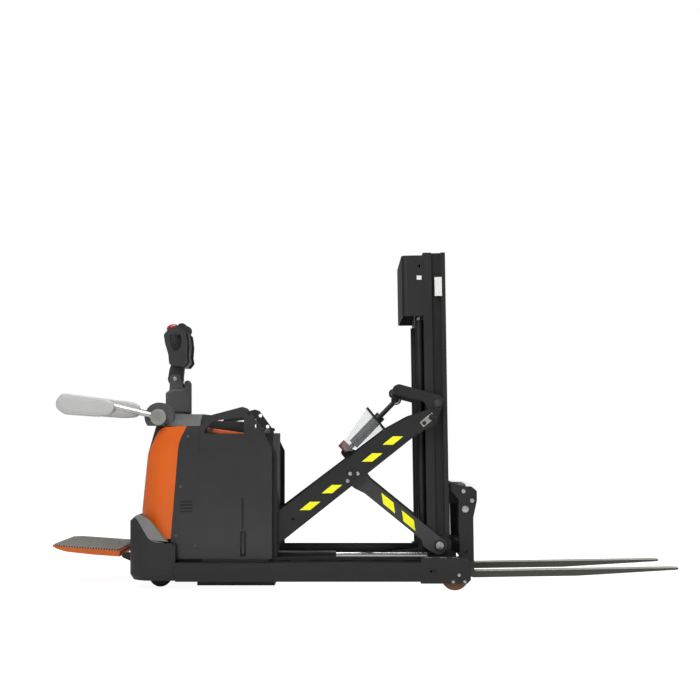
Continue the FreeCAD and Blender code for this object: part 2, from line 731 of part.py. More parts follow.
place(short_arms, middle_x, 0, middle_z, down_angle)
keep("short_arms", short_arms)

# Mast foot: level brackets whose rollers run in the legs, with the pins of the mast's foot

mast_x = S.pivot_x + S.foot_spacing
web_out = S.mast_half - S.slot_deep
web_in = web_out - S.mast_plate
bracket_in, bracket_out = web_out + 4, web_out + 24
roller_radius = (S.leg_high - S.leg_low) / 2 - S.leg_wall - 1
roller_z = S.leg_low + S.leg_wall + roller_radius + S.seat
ROLLERS_BACK = (105, 215)
foot_plate = prism("foot_plate", "XZ", bracket_in, bracket_out, [
    (mast_x - 250, S.leg_low + 16, 12), (mast_x + 66, S.leg_low + 16, 12),
    (mast_x + 66, S.pivot_z + 26, 20), (mast_x + 26, S.pivot_z + 48, 30),
    (mast_x - 26, S.pivot_z + 48, 30), (mast_x - 62, S.pivot_z + 10, 20),
    (mast_x - 62, S.leg_high + 4, 15), (mast_x - 250, S.leg_high - 16, 12),
])
foot_parts = [foot_plate]
foot_parts.append(across("mast_pin", mast_x, S.pivot_z, S.pin_radius, short_out + 8, web_in - 1))
foot_parts.append(across("mast_pin_head", mast_x, S.pivot_z, S.pin_radius + 5,
                         short_out + 8, short_out + 2))
for back in ROLLERS_BACK:
    foot_parts.append(across(f"roller_pin_{back}", mast_x - back, roller_z, 15,
                             S.leg_half - S.leg_wall - 6, bracket_in + 2))
    foot_parts.append(across(f"roller_{back}", mast_x - back, roller_z, roller_radius,
                             S.leg_half - S.leg_wall - 10, S.leg_half - S.leg_wall - 64))
foot_beam = block("foot_beam", (mast_x - 12, mast_x + 28), (-bracket_in - 1, bracket_in + 1),
                  (S.reach_high - 28, S.reach_high + 14))
foot_twins = [mirrored(f"far_{thing.Name}", thing) for thing in foot_parts]
keep("mast_foot", joined_up("mast_foot_fused", foot_parts + foot_twins + [foot_beam]))

rod_long = S.reach_stroke + 30
keep("reach_rod", rod("reach_rod_bar", "X", mast_x - 12 - rod_long, 0, S.reach_high,
                      S.reach_rod, rod_long))

# Outer mast: channels with a guide slot in each side, joined by plates at the back.
# Its pieces lie about the foot pivot, and the whole leans back about it.

MAST_PLACE = (mast_x, 0, S.pivot_z, Size(f"({S.mast_lean.formula} * 1 deg)", S.mast_lean.value))
flange_tip = S.inner_out + 6


def channel_pair(label, section, low, high):
    """A mast section on each side, drawn in plan for the right one."""
    return prism(label, "XY", low, high, section)


outer_section = channel_pair("outer_section", [
    (S.mast_rear, -flange_tip), (S.mast_rear, -S.mast_half), (-S.slot_half, -S.mast_half),
    (-S.slot_half, -web_out), (S.slot_fore, -web_out), (S.slot_fore, -S.mast_half),
    (S.mast_fore, -S.mast_half), (S.mast_fore, -flange_tip),
    (S.mast_fore - S.mast_plate, -flange_tip), (S.mast_fore - S.mast_plate, -web_in),
    (S.mast_rear + S.mast_plate, -web_in), (S.mast_rear + S.mast_plate, -flange_tip),
], S.mast_foot, S.mast_top)
take(outer_section, "foot_room", "XZ", -S.mast_half - 1, -web_out, [
    (S.mast_rear - 2, S.mast_foot - 2), (S.mast_fore + 2, S.mast_foot - 2),
    (S.mast_fore + 2, 66), (S.mast_rear - 2, 66),
])
take(outer_section, "foot_bore", "XZ", -web_out - 2, -web_in + 2,
     rings=[(0, 0, S.pin_radius + S.pin_play)])
mast_plates = []
for index, (low, high) in enumerate(((60, 170), (660, 740), (1350, 1450))):
    mast_plates.append(block(f"mast_plate_{index}", (S.mast_rear, S.mast_rear + S.mast_plate),
                             (-flange_tip - 1, flange_tip + 1), (low, high)))
outer_mast = joined_up("outer_mast_fused",
                       [outer_section, mirrored("far_outer_section", outer_section)] + mast_plates)
place(outer_mast, *MAST_PLACE)
keep("outer_mast", outer_mast)

# Lift cylinders behind the mast sections: barrels on the outer mast, rods on the inner

lift_back = S.mast_rear - S.lift_radius - S.seat
lift_y = S.mast_half - 60
lift_foot = -30
lift_barrel = rod("lift_barrel", "Z", lift_back, -lift_y, lift_foot, S.lift_radius,
                  S.lift_top - lift_foot)
lift_bore = rod("lift_bore", "Z", lift_back, -lift_y, lift_foot + 60, S.lift_rod + S.seat,
                S.lift_top)
lift_foot_plate = block("lift_foot_plate", (lift_back - S.lift_radius, S.mast_rear),
                        (-lift_y - S.lift_radius, -lift_y + S.lift_radius),
                        (lift_foot - 12, lift_foot))
lift_one = joined_up("lift_one", [cut_from("lift_tube", lift_barrel, lift_bore), lift_foot_plate])
lifts = pair("lift_barrels_pair", lift_one)
place(lifts, *MAST_PLACE)
keep("lift_barrels", lifts)

inner_top = S.mast_top - 15
head_low = inner_top - 30
lift_rods = pair("lift_rods_pair", rod("lift_rod_bar", "Z", lift_back, -lift_y,
                                       lift_foot + 80, S.lift_rod, head_low - lift_foot - 80))
place(lift_rods, *MAST_PLACE)
keep("lift_rods", lift_rods)

# Inner mast: channels that carry rollers in the outer ones, and the head over the rods

inner_rear, inner_fore = S.mast_rear + S.mast_plate + 5, S.mast_fore - 7
inner_in = S.inner_out - S.inner_wide
inner_section = channel_pair("inner_section", [
    (inner_rear, -inner_in), (inner_rear, -S.inner_out), (inner_fore, -S.inner_out),
    (inner_fore, -inner_in), (inner_fore - S.mast_plate, -inner_in),
    (inner_fore - S.mast_plate, S.mast_plate - S.inner_out),
    (inner_rear + S.mast_plate, S.mast_plate - S.inner_out), (inner_rear + S.mast_plate, -inner_in),
], S.inner_foot, inner_top)
channel_middle = (S.mast_rear + S.mast_fore) / 2
channel_half = (S.mast_fore - S.mast_rear) / 2 - S.mast_plate
inner_parts = [inner_section]
for index, height in enumerate((70, 300)):
    inner_parts.append(across(f"inner_roller_{index}", channel_middle, S.inner_foot + height,
                              channel_half - 0.5, web_in - 6, S.inner_out - 1))
inner_twins = [mirrored(f"far_{thing.Name}", thing) for thing in inner_parts]
bars = []
for index, (low, high) in enumerate(((40, 120), (820, 880), (1380, 1440))):
    bars.append(block(f"inner_bar_{index}", (inner_rear, inner_rear + S.mast_plate),
                      (-S.inner_out + 1, S.inner_out - 1), (low, high)))
bars.append(block("mast_head", (lift_back - S.lift_radius, inner_rear + S.mast_plate),
                  (-S.inner_out, S.inner_out), (head_low, inner_top)))
bars.append(block("mast_head_ears", (lift_back - S.lift_radius, S.mast_rear - 5),
                  (-lift_y - S.lift_radius, lift_y + S.lift_radius), (head_low, inner_top)))
inner_mast = joined_up("inner_mast_fused", inner_parts + inner_twins + bars)
place(inner_mast, *MAST_PLACE)
keep("inner_mast", inner_mast)

# Lift chains over sheaves at the inner mast's head

SHEAVE_Y, SHEAVE_RADIUS = 120, 42
sheave_z = inner_top - 90
sheave = across("sheave_wheel", 0, sheave_z, SHEAVE_RADIUS, SHEAVE_Y + 12, SHEAVE_Y - 12)
sheave_ear = block("sheave_ear", (inner_rear + S.mast_plate + 1, 20),
                   (SHEAVE_Y + 14, SHEAVE_Y + 24), (sheave_z - 30, head_low))
sheave_pin = across("sheave_pin", 0, sheave_z, 9, SHEAVE_Y + 23, SHEAVE_Y - 12)
sheaves = pair("chain_sheaves_pair", joined_up("sheave_set", [sheave, sheave_ear, sheave_pin]))
place(sheaves, *MAST_PLACE)
keep("chain_sheaves", sheaves)

CHAIN_THICK = 9
chain_in, chain_out = SHEAVE_RADIUS + S.seat, SHEAVE_RADIUS + CHAIN_THICK
chain = prism("chain_run", "XZ", SHEAVE_Y - 8, SHEAVE_Y + 8, [
    (chain_in, 200), (chain_out, 200), (chain_out, sheave_z + chain_out, chain_out - 0.5),
    (-chain_out, sheave_z + chain_out, chain_out - 0.5), (-chain_out, sheave_z - 79),
    (-chain_in, sheave_z - 79), (-chain_in, sheave_z + chain_in, chain_in - 0.5),
    (chain_in, sheave_z + chain_in, chain_in - 0.5),
])
chains = pair("lift_chains_pair", chain)
place(chains, *MAST_PLACE)
keep("lift_chains", chains)

# Head cover of the outer mast: side walls and a rounded back over rods and hoses

cover_low, cover_top = S.mast_top - 350, S.mast_top - 14
cover_back = S.mast_rear - 118
head_cover = prism("head_cover_body", "XY", cover_low, cover_top, [
    (S.mast_rear - S.seat, -S.mast_half + 1), (cover_back, -S.mast_half + 1, 30),
    (cover_back, S.mast_half - 1, 30), (S.mast_rear - S.seat, S.mast_half - 1),
    (S.mast_rear - S.seat, S.mast_half - 5), (cover_back + 4, S.mast_half - 5, 26),
    (cover_back + 4, -S.mast_half + 5, 26), (S.mast_rear - S.seat, -S.mast_half + 5),
])
take(head_cover, "head_cover_window", "XZ", -S.mast_half - 2, S.mast_half + 2,
     rings=[(S.mast_rear - 22, cover_top - 60, 9)])
place(head_cover, *MAST_PLACE)
keep("mast_head_cover", head_cover)

# Fork carriage: roller plates in the inner mast, two bars, and the shaped side plates

side_in, side_out = 326, 338
carriage_side = prism("carriage_side", "XZ", side_in, side_out, [
    (72, 300), (112, 250), (114, -96), (186, -96), (185, 116), (214, 244, 20), (214, 298, 18),
    (186, 321), (125, 323), (68, 350),
], rings=[(150, -40, 9)])
bar_front = S.fork_face - 40 - S.seat
carriage_parts = [carriage_side]
roller_plate = prism("roller_plate", "XZ", inner_in - 24, inner_in - 8, [
    (-30, -10, 15), (bar_front, -70), (bar_front, 0), (S.mast_fore + 14, 20),
    (S.mast_fore + 14, 220), (bar_front, 230), (bar_front, 300), (-30, 380, 15),
])
carriage_parts.append(roller_plate)
for index, height in enumerate((70, 310)):
    carriage_parts.append(across(f"carriage_roller_{index}", (inner_rear + inner_fore) / 2, height,
                                 (inner_fore - inner_rear) / 2 - S.mast_plate - 0.5,
                                 S.inner_out - S.mast_plate - 4, inner_in - 10))
carriage_twins = [mirrored(f"far_{thing.Name}", thing) for thing in carriage_parts]
carriage_bars = [
    block("carriage_bar_low", (bar_front - 40, bar_front), (-side_in - 1, side_in + 1), (-70, 0)),
    block("carriage_bar_high", (bar_front - 40, bar_front), (-side_in - 1, side_in + 1), (230, 300)),
]
carriage = joined_up("fork_carriage_fused", carriage_parts + carriage_twins + carriage_bars)
place(carriage, *MAST_PLACE)
keep("fork_carriage", carriage)

screen = prism("carriage_screen_body", "XZ", S.seat - side_in, side_in - S.seat, [
    (74, 340), (206, 325), (206, 321), (74, 336),
])
place(screen, *MAST_PLACE)
keep("carriage_screen", screen)

# Forks: a shank that hangs on the carriage bars and a blade that tapers to its tip

blade_top = S.fork_under + S.fork_thick
fork_end = S.fork_face + S.fork_long
for side_name, side in SIDES:
    low, high = sorted((side * S.fork_outer, side * (S.fork_outer - S.fork_wide)),
                       key=lambda v: v.value)
    fork = prism(f"{side_name}_fork", "XZ", low, high, [
        (S.fork_face - 40, 318, 8), (S.fork_face - 40, S.fork_under, 40),
        (S.fork_face + S.fork_long / 2, S.fork_under, 400), (fork_end, blade_top - S.fork_tip),
        (fork_end, blade_top), (S.fork_face, blade_top, 14), (S.fork_face, 318, 8),
    ])
    soften(fork, f"{side_name}_fork_tip", 34,
           lambda p, way, edge: abs(way.y) < 0.1 and abs(way.z) > 0.9
           and p.x > fork_end.value - 2)
    place(fork, *MAST_PLACE)
    keep(f"{side_name}_fork", fork)

# Tilt crank: a plate each side on the arms' tips, with the guide pin in the mast's slot
# and a cross bar for the tilt cylinder

arm_cos = Size(f"cos({reach_angle.formula})", math.cos(math.radians(reach_angle.value)))
arm_sin = Size(f"sin({reach_angle.formula})", math.sin(math.radians(reach_angle.value)))
lean_cos, lean_sin = cosine(S.mast_lean), sine(S.mast_lean)
tip_x = S.pivot_x + TIP_U * arm_cos - TIP_V * arm_sin
tip_z = S.pivot_z + TIP_U * arm_sin + TIP_V * arm_cos
guide_high = full_arm * arm_sin
guide_x = mast_x - guide_high * lean_sin / lean_cos - tip_x
guide_z = S.pivot_z + guide_high - tip_z
eye_x, eye_z = -183, 104
bar_x, bar_z = -186, 154
crank_out = arm_inner - 5
crank_in = crank_out - 24
crank_plate = prism("crank_plate", "XZ", crank_in, crank_out, [
    (-26, -30, 24), (22, -34, 24), (guide_x + 24, guide_z - 30, 20),
    (guide_x + 34, guide_z + 18, 26), (guide_x + 14, guide_z + 44, 20),
    (guide_x - 40, guide_z + 58, 20), (bar_x + 4, bar_z + 30, 24), (bar_x - 30, bar_z + 16, 24),
    (bar_x - 26, bar_z - 28, 20), (bar_x + 10, bar_z - 32, 20), (-44, 88, 24), (-26, 52, 30),
], rings=[(0, 0, S.pin_radius - 7 + S.pin_play)])
guide_pin = across("guide_pin", guide_x, guide_z, S.slot_half / 2, crank_in + 2, web_out + 4)
EYE_PIN, EYE_PLAY = 8, 13
crank_near = [crank_plate, guide_pin]
crank_twins = [mirrored(f"far_{thing.Name}", thing) for thing in crank_near]
eye_tube_near = across("eye_tube", bar_x, bar_z, 20, crank_in + 1, 22)
eye_lug = prism("eye_lug", "XZ", 22, 32, [
    (bar_x - 22, bar_z + 20, 18), (bar_x + 22, bar_z + 20, 18),
    (eye_x + 18, eye_z - 18, 16), (eye_x - 18, eye_z - 18, 16),
])
eye_tubes = [eye_tube_near, mirrored("far_eye_tube", eye_tube_near), eye_lug,
             mirrored("far_eye_lug", eye_lug), across("eye_pin", eye_x, eye_z, EYE_PIN, 26)]
crank = joined_up("tilt_crank_fused", crank_near + crank_twins + eye_tubes)
place(crank, tip_x, 0, tip_z)
keep("tilt_crank", crank)

# Tilt cylinder from the lug on the long arms to the crank's cross bar

lug_x = S.pivot_x + LUG_U * arm_cos - LUG_V * arm_sin
lug_z = S.pivot_z + LUG_U * arm_sin + LUG_V * arm_cos
run_x, run_z = tip_x + eye_x - lug_x, tip_z + eye_z - lug_z
tilt_angle = Size(f"atan2({run_z.formula}; {run_x.formula})",
                  math.degrees(math.atan2(run_z.value, run_x.value)))
tilt_long = Size(f"sqrt({run_x.formula} * {run_x.formula} + {run_z.formula} * {run_z.formula})",
                 math.hypot(run_x.value, run_z.value))
TILT_EYE, TILT_BARREL, TILT_ROD = 24, 30, 14
tilt_eye = prism("tilt_barrel_eye", "XZ", -14, 14, rings=[(0, 0, TILT_EYE), (0, 0, 12 + S.pin_play)])
tilt_tube = cut_from("tilt_tube", rod("tilt_outer", "X", 66, 0, 0, TILT_BARREL, tilt_long - 194),
                     rod("tilt_bore", "X", 74, 0, 0, TILT_ROD + S.seat, tilt_long))
tilt_neck = rod("tilt_neck", "X", TILT_EYE - 3, 0, 0, 13, 50)
tilt_barrel = joined_up("tilt_barrel_fused", [tilt_eye, tilt_neck, tilt_tube])
place(tilt_barrel, lug_x, 0, lug_z, tilt_angle)
keep("tilt_barrel", tilt_barrel)

eye_ring = prism("tilt_rod_eye", "XZ", -17, 17, rings=[
    (tilt_long, 0, EYE_PIN + EYE_PLAY + 8), (tilt_long, 0, EYE_PIN + EYE_PLAY),
])
tilt_bar = rod("tilt_rod_bar", "X", tilt_long - 290, 0, 0, TILT_ROD, 290 - 26)
tilt_rod = joined_up("tilt_rod_fused", [eye_ring, tilt_bar])
place(tilt_rod, lug_x, 0, lug_z, tilt_angle)
keep("tilt_rod", tilt_rod)

# Drive housing: one lofted skin, split along its real seams into an orange cover, a dark
# cap, two dark side panels and the trim over the bumper skirt

BODY_FRONT = S.battery_rear - S.seat


def d_shape(rear, half, corner):
    """A plan outline with two rounded rear corners."""
    return [(BODY_FRONT, -half), (BODY_FRONT, half), (rear, half, corner), (rear, -half, corner)]


def d_loft(label, levels, inset=0):
    """A loft through plan outlines, rows of (height, rear, half width, corner radius)."""
    body = new_body(label)
    sketches = []
    for index, (height, rear, half, corner) in enumerate(levels):
        sketch = new_sketch(body, f"{label}_level_{index}", "XY", out=size_of(height))
        draw(sketch, d_shape(rear + inset, half - inset, corner - inset))
        sketches.append(sketch)
    loft = body.newObject("PartDesign::AdditiveLoft", f"{label}_loft")
    loft.Profile = sketches[0]
    loft.Sections = sketches[1:]
    loft.Ruled = True
    body.Tip = loft
    doc.recompute()
    return body


HOUSING_LEVELS = (
    (S.leg_high, S.body_rear, S.body_half, S.body_corner),
    (size_of(430), S.body_rear, S.body_half, S.body_corner),
    (size_of(736), size_of(-1209), S.body_half, S.body_corner),
    (size_of(892), size_of(-1165), S.body_half - 6, S.body_corner),
)
housing_outer = d_loft("housing_outer", HOUSING_LEVELS)
housing_inner = d_loft("housing_inner", HOUSING_LEVELS, S.body_wall)
housing_shell = cut_from("housing_shell", housing_outer, housing_inner)

SEAM = 0.5
PANEL_FOOT, PANEL_WAIST, PANEL_HEAD = -1064, -1020, -976
COVER_LOW = 275
region_half = S.skirt_half + S.body_half


def region(label, outline):
    return prism(label, "XZ", -region_half, region_half, outline)


orange_region = region("orange_region", [
    (-1300, 520), (-1165, COVER_LOW, 130), (PANEL_FOOT - SEAM, COVER_LOW),
    (PANEL_WAIST - SEAM, 804, 200), (PANEL_HEAD - SEAM, 892), (-1128, 884, 60),
    (-1205, 742, 60), (-1300, 736),
])
orange_region.Label = "orange_region"
keep("orange_cover", shared("orange_cover_skin", housing_shell, orange_region))
panel_region = region("panel_region", [
    (PANEL_FOOT, S.box_low), (BODY_FRONT + 5, S.box_low), (BODY_FRONT + 5, 892),
    (PANEL_HEAD, 892), (PANEL_WAIST, 804, 200), (PANEL_FOOT, COVER_LOW),
])
keep("dark_side_panels", shared("dark_panel_skin", housing_shell, panel_region))
cap_region = region("cap_region", [
    (-1300, 736.3), (-1205, 742.3, 60), (-1128, 884.3, 60),
    (-1118, 892), (-1300, 892),
])
keep("rear_cap", shared("rear_cap_skin", housing_shell, cap_region))

# Console: the domed grey top, with the seat of the steering column and the two round
# bosses of the guard arms

DOME_LOW = 892.3
dome = d_loft("console_dome", (
    (size_of(DOME_LOW), size_of(-1165), S.body_half - 6, S.body_corner),
    (size_of(925), size_of(-1145), S.body_half - 40, S.body_corner - 10),
    (size_of(958), size_of(-1090), S.body_half - 130, size_of(80)),
))
column_seat = rod("column_seat", "Z", S.drive_x, 0, DOME_LOW, 74, 958 - DOME_LOW)
boss = across("arm_boss", S.guard_x, S.guard_z, S.guard_boss, S.guard_y, S.guard_y - 80)
boss_room = block("boss_room", (S.guard_x - 100, S.guard_x + 100), (S.guard_y - 90, S.guard_y + 10),
                  (DOME_LOW + 0.2, S.guard_z + 100))
near_boss = shared("near_boss", boss, boss_room)
keep("console", joined_up("console_fused", [
    dome, column_seat, near_boss, mirrored("far_boss", near_boss),
]))

# Bumper skirt around the drive wheel and the castors

SKIRT_LEVELS = (
    (size_of(52), S.skirt_rear + 18, S.skirt_half - 12, size_of(120)),
    (size_of(82), S.skirt_rear, S.skirt_half, size_of(130)),
    (size_of(372), S.skirt_rear, S.skirt_half, size_of(130)),
    (size_of(420), size_of(-1248), S.body_half + 8, S.body_corner),
)
skirt_outer = d_loft("skirt_outer", SKIRT_LEVELS)
skirt_inner = d_loft("skirt_inner", SKIRT_LEVELS, S.skirt_wall)
skirt_shell = cut_from("skirt_shell", skirt_outer, skirt_inner)
skirt_front = S.leg_rear - S.seat
SKIRT_EDGE = ((skirt_front, 245), (PANEL_FOOT, 255, 30), (-1168, 262, 90), (-1250, 392, 60),
              (-1320, 405))
skirt_region = region("skirt_region", [(-1320, 50), (skirt_front, 50), *SKIRT_EDGE])
skirt_skin = shared("skirt_skin", skirt_shell, skirt_region)
ledge_region = region("ledge_region", [
    *reversed(SKIRT_EDGE), (skirt_front, 235), (PANEL_FOOT, 245, 30), (-1171, 252, 90),
    (-1255, 380, 60), (-1320, 393),
])
ledge_room = prism("ledge_room", "XY", 150, 450,
                   d_shape(S.body_rear - S.seat, S.body_half + S.seat, S.body_corner))
ledge_band = cut_from("ledge_band", skirt_outer, ledge_room)
keep("bumper_skirt", joined_up("bumper_skirt_fused", [
    skirt_skin, shared("skirt_ledge", ledge_band, ledge_region),
]))

# Drive unit: a steered yoke with its motor above the deck, and the drive wheel

yoke_half = S.drive_wide / 2 + 6
yoke_plate = prism("yoke_plate", "XZ", yoke_half, yoke_half + 12, [
    (S.drive_x - 40, S.drive_radius - 30, 30), (S.drive_x + 40, S.drive_radius - 30, 30),
    (S.drive_x + 70, DECK_LOW - 1), (S.drive_x - 70, DECK_LOW - 1),
])
yoke_parts = [yoke_plate, mirrored("far_yoke_plate", yoke_plate)]
yoke_parts.append(rod("turntable_neck", "Z", S.drive_x, 0, DECK_LOW - 3, 98, 20))
yoke_parts.append(rod("turntable", "Z", S.drive_x, 0, DECK_HIGH + S.seat, 125, 14))
yoke_parts.append(across("drive_axle", S.drive_x, S.drive_radius, 18, yoke_half + 12.5))
yoke_parts.append(rod("motor_body", "Z", S.drive_x, 0, 264, 88, 300))
keep("drive_unit", joined_up("drive_unit_fused", yoke_parts))
half = S.drive_wide / 2
keep("drive_wheel", spun("drive_tyre", [
    (-half, 18 + S.pin_play), (half, 18 + S.pin_play), (half, S.drive_radius - 10),
    (half - 10, S.drive_radius), (10 - half, S.drive_radius), (-half, S.drive_radius - 10),
], S.drive_x, 0, S.drive_radius))

# Castors: a swivel yoke under each post, and its wheel

half = S.castor_wide / 2
for side_name, side in SIDES:
    y = side * S.castor_y
    axle_x = S.castor_x - S.castor_trail
    parts = [rod(f"{side_name}_castor_disc", "Z", S.castor_x, y, 176, 42, 192 - 176 - S.seat)]
    for index, way in enumerate((-1, 1)):
        low, high = sorted((y + way * (half + 5), y + way * (half + 11)), key=lambda v: v.value)
        parts.append(prism(f"{side_name}_castor_cheek_{index}", "XZ", low, high, [
            (axle_x - 16, S.castor_radius - 16, 15), (axle_x + 16, S.castor_radius - 16, 15),
            (S.castor_x + 34, 140, 20), (S.castor_x + 34, 177), (S.castor_x - 34, 177),
            (axle_x - 22, 130, 20),
        ]))
    parts.append(rod(f"{side_name}_castor_axle", "Y", axle_x, y - half - 12, S.castor_radius, 9,
                     S.castor_wide + 24))
    keep(f"{side_name}_castor_yoke", joined_up(f"{side_name}_castor_yoke_fused", parts))
    keep(f"{side_name}_castor_wheel", spun(f"{side_name}_castor_tyre", [
        (-half, 9 + S.pin_play), (half, 9 + S.pin_play), (half, S.castor_radius - 6),
        (half - 6, S.castor_radius), (6 - half, S.castor_radius), (-half, S.castor_radius - 6),
    ], axle_x, y, S.castor_radius))

# Rider platform: a folded pan on two knuckles, with a rubber mat

platform_long = (S.platform_hinge_x - S.platform_tip) / cosine(S.platform_slope)
PAN_TOP, PAN_GAP = 23, 22
pan_side = prism("pan_side", "XZ", -S.platform_half, S.platform_half, [
    (-platform_long, PAN_TOP - 6), (100 - platform_long, -2), (-160, -8), (-PAN_GAP, -8),
    (-PAN_GAP, PAN_TOP), (-platform_long, PAN_TOP),
])
pan_plan = prism("pan_plan", "XY", -20, 40, [
    (-platform_long, -S.platform_half, 90), (-platform_long, S.platform_half, 90),
    (-PAN_GAP, S.platform_half), (-PAN_GAP, -S.platform_half),
])
pan_hollow = prism("pan_hollow", "XY", -20, PAN_TOP - 6, [
    (12 - platform_long, 12 - S.platform_half, 78), (12 - platform_long, S.platform_half - 12, 78),
    (-PAN_GAP - 6, S.platform_half - 12), (-PAN_GAP - 6, 12 - S.platform_half),
])
pan = cut_from("platform_pan", shared("pan_block", pan_side, pan_plan), pan_hollow)
KNUCKLE_Y = 240
knuckle_tube = cut_from("knuckle_tube", across("knuckle", 0, 0, 13, KNUCKLE_Y + 40, KNUCKLE_Y - 40),
                        across("knuckle_bore", 0, 0, 8 + S.pin_play, KNUCKLE_Y + 50, KNUCKLE_Y - 50))
knuckle_arm = block("knuckle_arm", (-PAN_GAP - 4, -9), (KNUCKLE_Y - 38, KNUCKLE_Y + 38), (-8, 4))
knuckles = [knuckle_tube, knuckle_arm]
platform = joined_up("platform_fused",
                     [pan] + knuckles + [mirrored(f"far_{k.Name}", k) for k in knuckles])
slope_angle = Size(f"(0 deg - {S.platform_slope.formula} * 1 deg)", -S.platform_slope.value)
place(platform, S.platform_hinge_x, 0, S.platform_hinge_z, slope_angle)
keep("platform", platform)

mat = prism("platform_mat_body", "XY", PAN_TOP, PAN_TOP + S.mat_thick, [
    (12 - platform_long, 8 - S.platform_half, 84), (12 - platform_long, S.platform_half - 8, 84),
    (-PAN_GAP - 8, S.platform_half - 8), (-PAN_GAP - 8, 8 - S.platform_half),
])
place(mat, S.platform_hinge_x, 0, S.platform_hinge_z, slope_angle)
keep("platform_mat", mat)

hinge_plate = prism("hinge_plate", "XZ", KNUCKLE_Y + 46, KNUCKLE_Y + 58, [
    (S.skirt_rear - S.seat - 1, S.platform_hinge_z - 40),
    (S.platform_hinge_x - 14, S.platform_hinge_z - 14, 12),
    (S.platform_hinge_x - 14, S.platform_hinge_z + 13, 12),
    (S.skirt_rear - S.seat - 1, S.platform_hinge_z + 13),
])
hinge_pin = across("hinge_pin", S.platform_hinge_x, S.platform_hinge_z, 8,
                   KNUCKLE_Y + 50, KNUCKLE_Y - 44)
hinge_flange = block("hinge_flange", (S.skirt_rear - S.seat - 6, S.skirt_rear - S.seat),
                     (KNUCKLE_Y + 20, KNUCKLE_Y + 90),
                     (S.platform_hinge_z - 46, S.platform_hinge_z + 46))
keep("platform_brackets", pair("platform_brackets_pair",
                               joined_up("hinge_set", [hinge_plate, hinge_pin, hinge_flange])))

# Guard arms beside the rider: a tube on a hub at each boss, and a long pad on its end

guard_angle = size_of(76.5)
for side_name, side in SIDES:
    tube_y = side * (S.guard_y + 20)
    hub_low, hub_high = sorted((side * (S.guard_y + S.seat), side * (S.guard_y + 38)),
                               key=lambda v: v.value)
    hub = rod(f"{side_name}_guard_hub", "Y", S.guard_x, hub_low, S.guard_z, 44,
              hub_high - hub_low)
    tube = rod(f"{side_name}_guard_tube", "Z", 0, 0, 0, 15, 290)
    place(tube, S.guard_x, tube_y, S.guard_z, guard_angle)
    keep(f"{side_name}_guard_arm", joined_up(f"{side_name}_guard_arm_fused", [hub, tube]))
    pad_low, pad_high = sorted((tube_y - S.pad_wide / 2, tube_y + S.pad_wide / 2),
                               key=lambda v: v.value)
    pad = prism(f"{side_name}_pad_block", "XZ", pad_low, pad_high, [
        (-1694, 1035, 30), (-1661, 1073, 30), (-1371, 1018, 8), (-1371, 982, 8),
        (-1446, 943, 30), (-1673, 980, 30),
    ])
    room = rod(f"{side_name}_tube_room", "Z", 0, 0, 0, 15 + S.seat, 290 + S.seat)
    place(room, S.guard_x, tube_y, S.guard_z, guard_angle)
    keep(f"{side_name}_guard_pad", cut_from(f"{side_name}_pad_cut", pad, room))

# Steering column: a turned base, the upright and the fork of the tiller's pivot

column = prism("column_upright", "XZ", -50, 50, [
    (-1152, 966, 6), (-1010, 966, 6), (-1010, 1140, 12), (-1022, 1160, 10),
    (-1044, 1150, 8), (-1046, 1110, 10), (-1118, 1108, 20), (-1152, 1086, 16),
])
soften(column, "column_edges", 14, lambda p, way, edge: abs(way.z) > 0.98 and p.z < 1120)
ear = prism("tiller_ear", "XZ", 27, 39, [
    (S.tiller_x - 34, 1090), (S.tiller_x + 52, 1090), (S.tiller_x + 30, S.tiller_z + 26, 24),
    (S.tiller_x - 30, S.tiller_z + 26, 24),
])
column_parts = [
    rod("column_base", "Z", S.drive_x, 0, 958 + S.seat, 72, 9), column, ear,
    mirrored("far_tiller_ear", ear), across("tiller_pin", S.tiller_x, S.tiller_z, 10, 38),
]
keep("steering_column", joined_up("steering_column_fused", column_parts))

# Tiller: knuckle, arm, and a head with a hoop each side that shields the hands

knuckle_half = 26
knuckle_body = across("tiller_knuckle", S.tiller_x, S.tiller_z, 44, knuckle_half)
tiller_arm = prism("tiller_arm", "XZ", -24, 24, [
    (S.tiller_x - 43, S.tiller_z + 4), (S.tiller_x + 43, S.tiller_z + 6),
    (S.tiller_x + 50, S.head_low - 10, 20), (S.tiller_x + 62, S.head_low + 30),
    (S.tiller_x - 16, S.head_low + 40), (S.tiller_x - 36, S.head_low - 20, 30),
])
hoop = [
    (S.tiller_x - 14, S.head_low, 16), (S.tiller_x + 64, S.head_low - 8, 16),
    (S.head_front + 2, S.head_low + 22, 14), (S.head_front - 5, S.head_low + 52, 20),
    (S.head_front, S.head_low + 116, 30), (S.head_front - 8, S.head_high - 38, 20),
    (S.head_front - 40, S.head_high - 4, 20), (S.tiller_x - 12, S.head_high - 10, 24),
    (S.head_rear, S.head_high - 48, 20), (S.head_rear + 8, S.head_low + 122, 40),
    (S.head_rear + 26, S.head_low + 60, 40),
]
hoop_room = [
    (S.head_rear + 32, S.head_high - 48, 12), (S.head_front - 34, S.head_high - 44, 12),
    (S.head_front - 27, S.head_low + 128, 14), (S.head_front - 40, S.head_low + 92, 12),
    (S.head_rear + 66, S.head_low + 70, 14), (S.head_rear + 42, S.head_low + 104, 20),
]
head_solids = [prism("head_centre", "XZ", -52, 52, hoop)]
for name, low, high in (("right", -186, -158), ("left", 158, 186)):
    piece = prism(f"{name}_hoop", "XZ", low, high, hoop)
    take(piece, f"{name}_hoop_room", "XZ", low, high, hoop_room)
    head_solids.append(piece)
grip_x = (S.head_rear + S.head_front) / 2
head_solids.append(across("grips", grip_x, S.head_high - 24, 16, 165))
head_solids.append(across("hoop_tube", grip_x + 22, S.head_low + 24, 16, 165))
tiller_solid = joined_up("tiller_fused", [knuckle_body, tiller_arm] + head_solids)
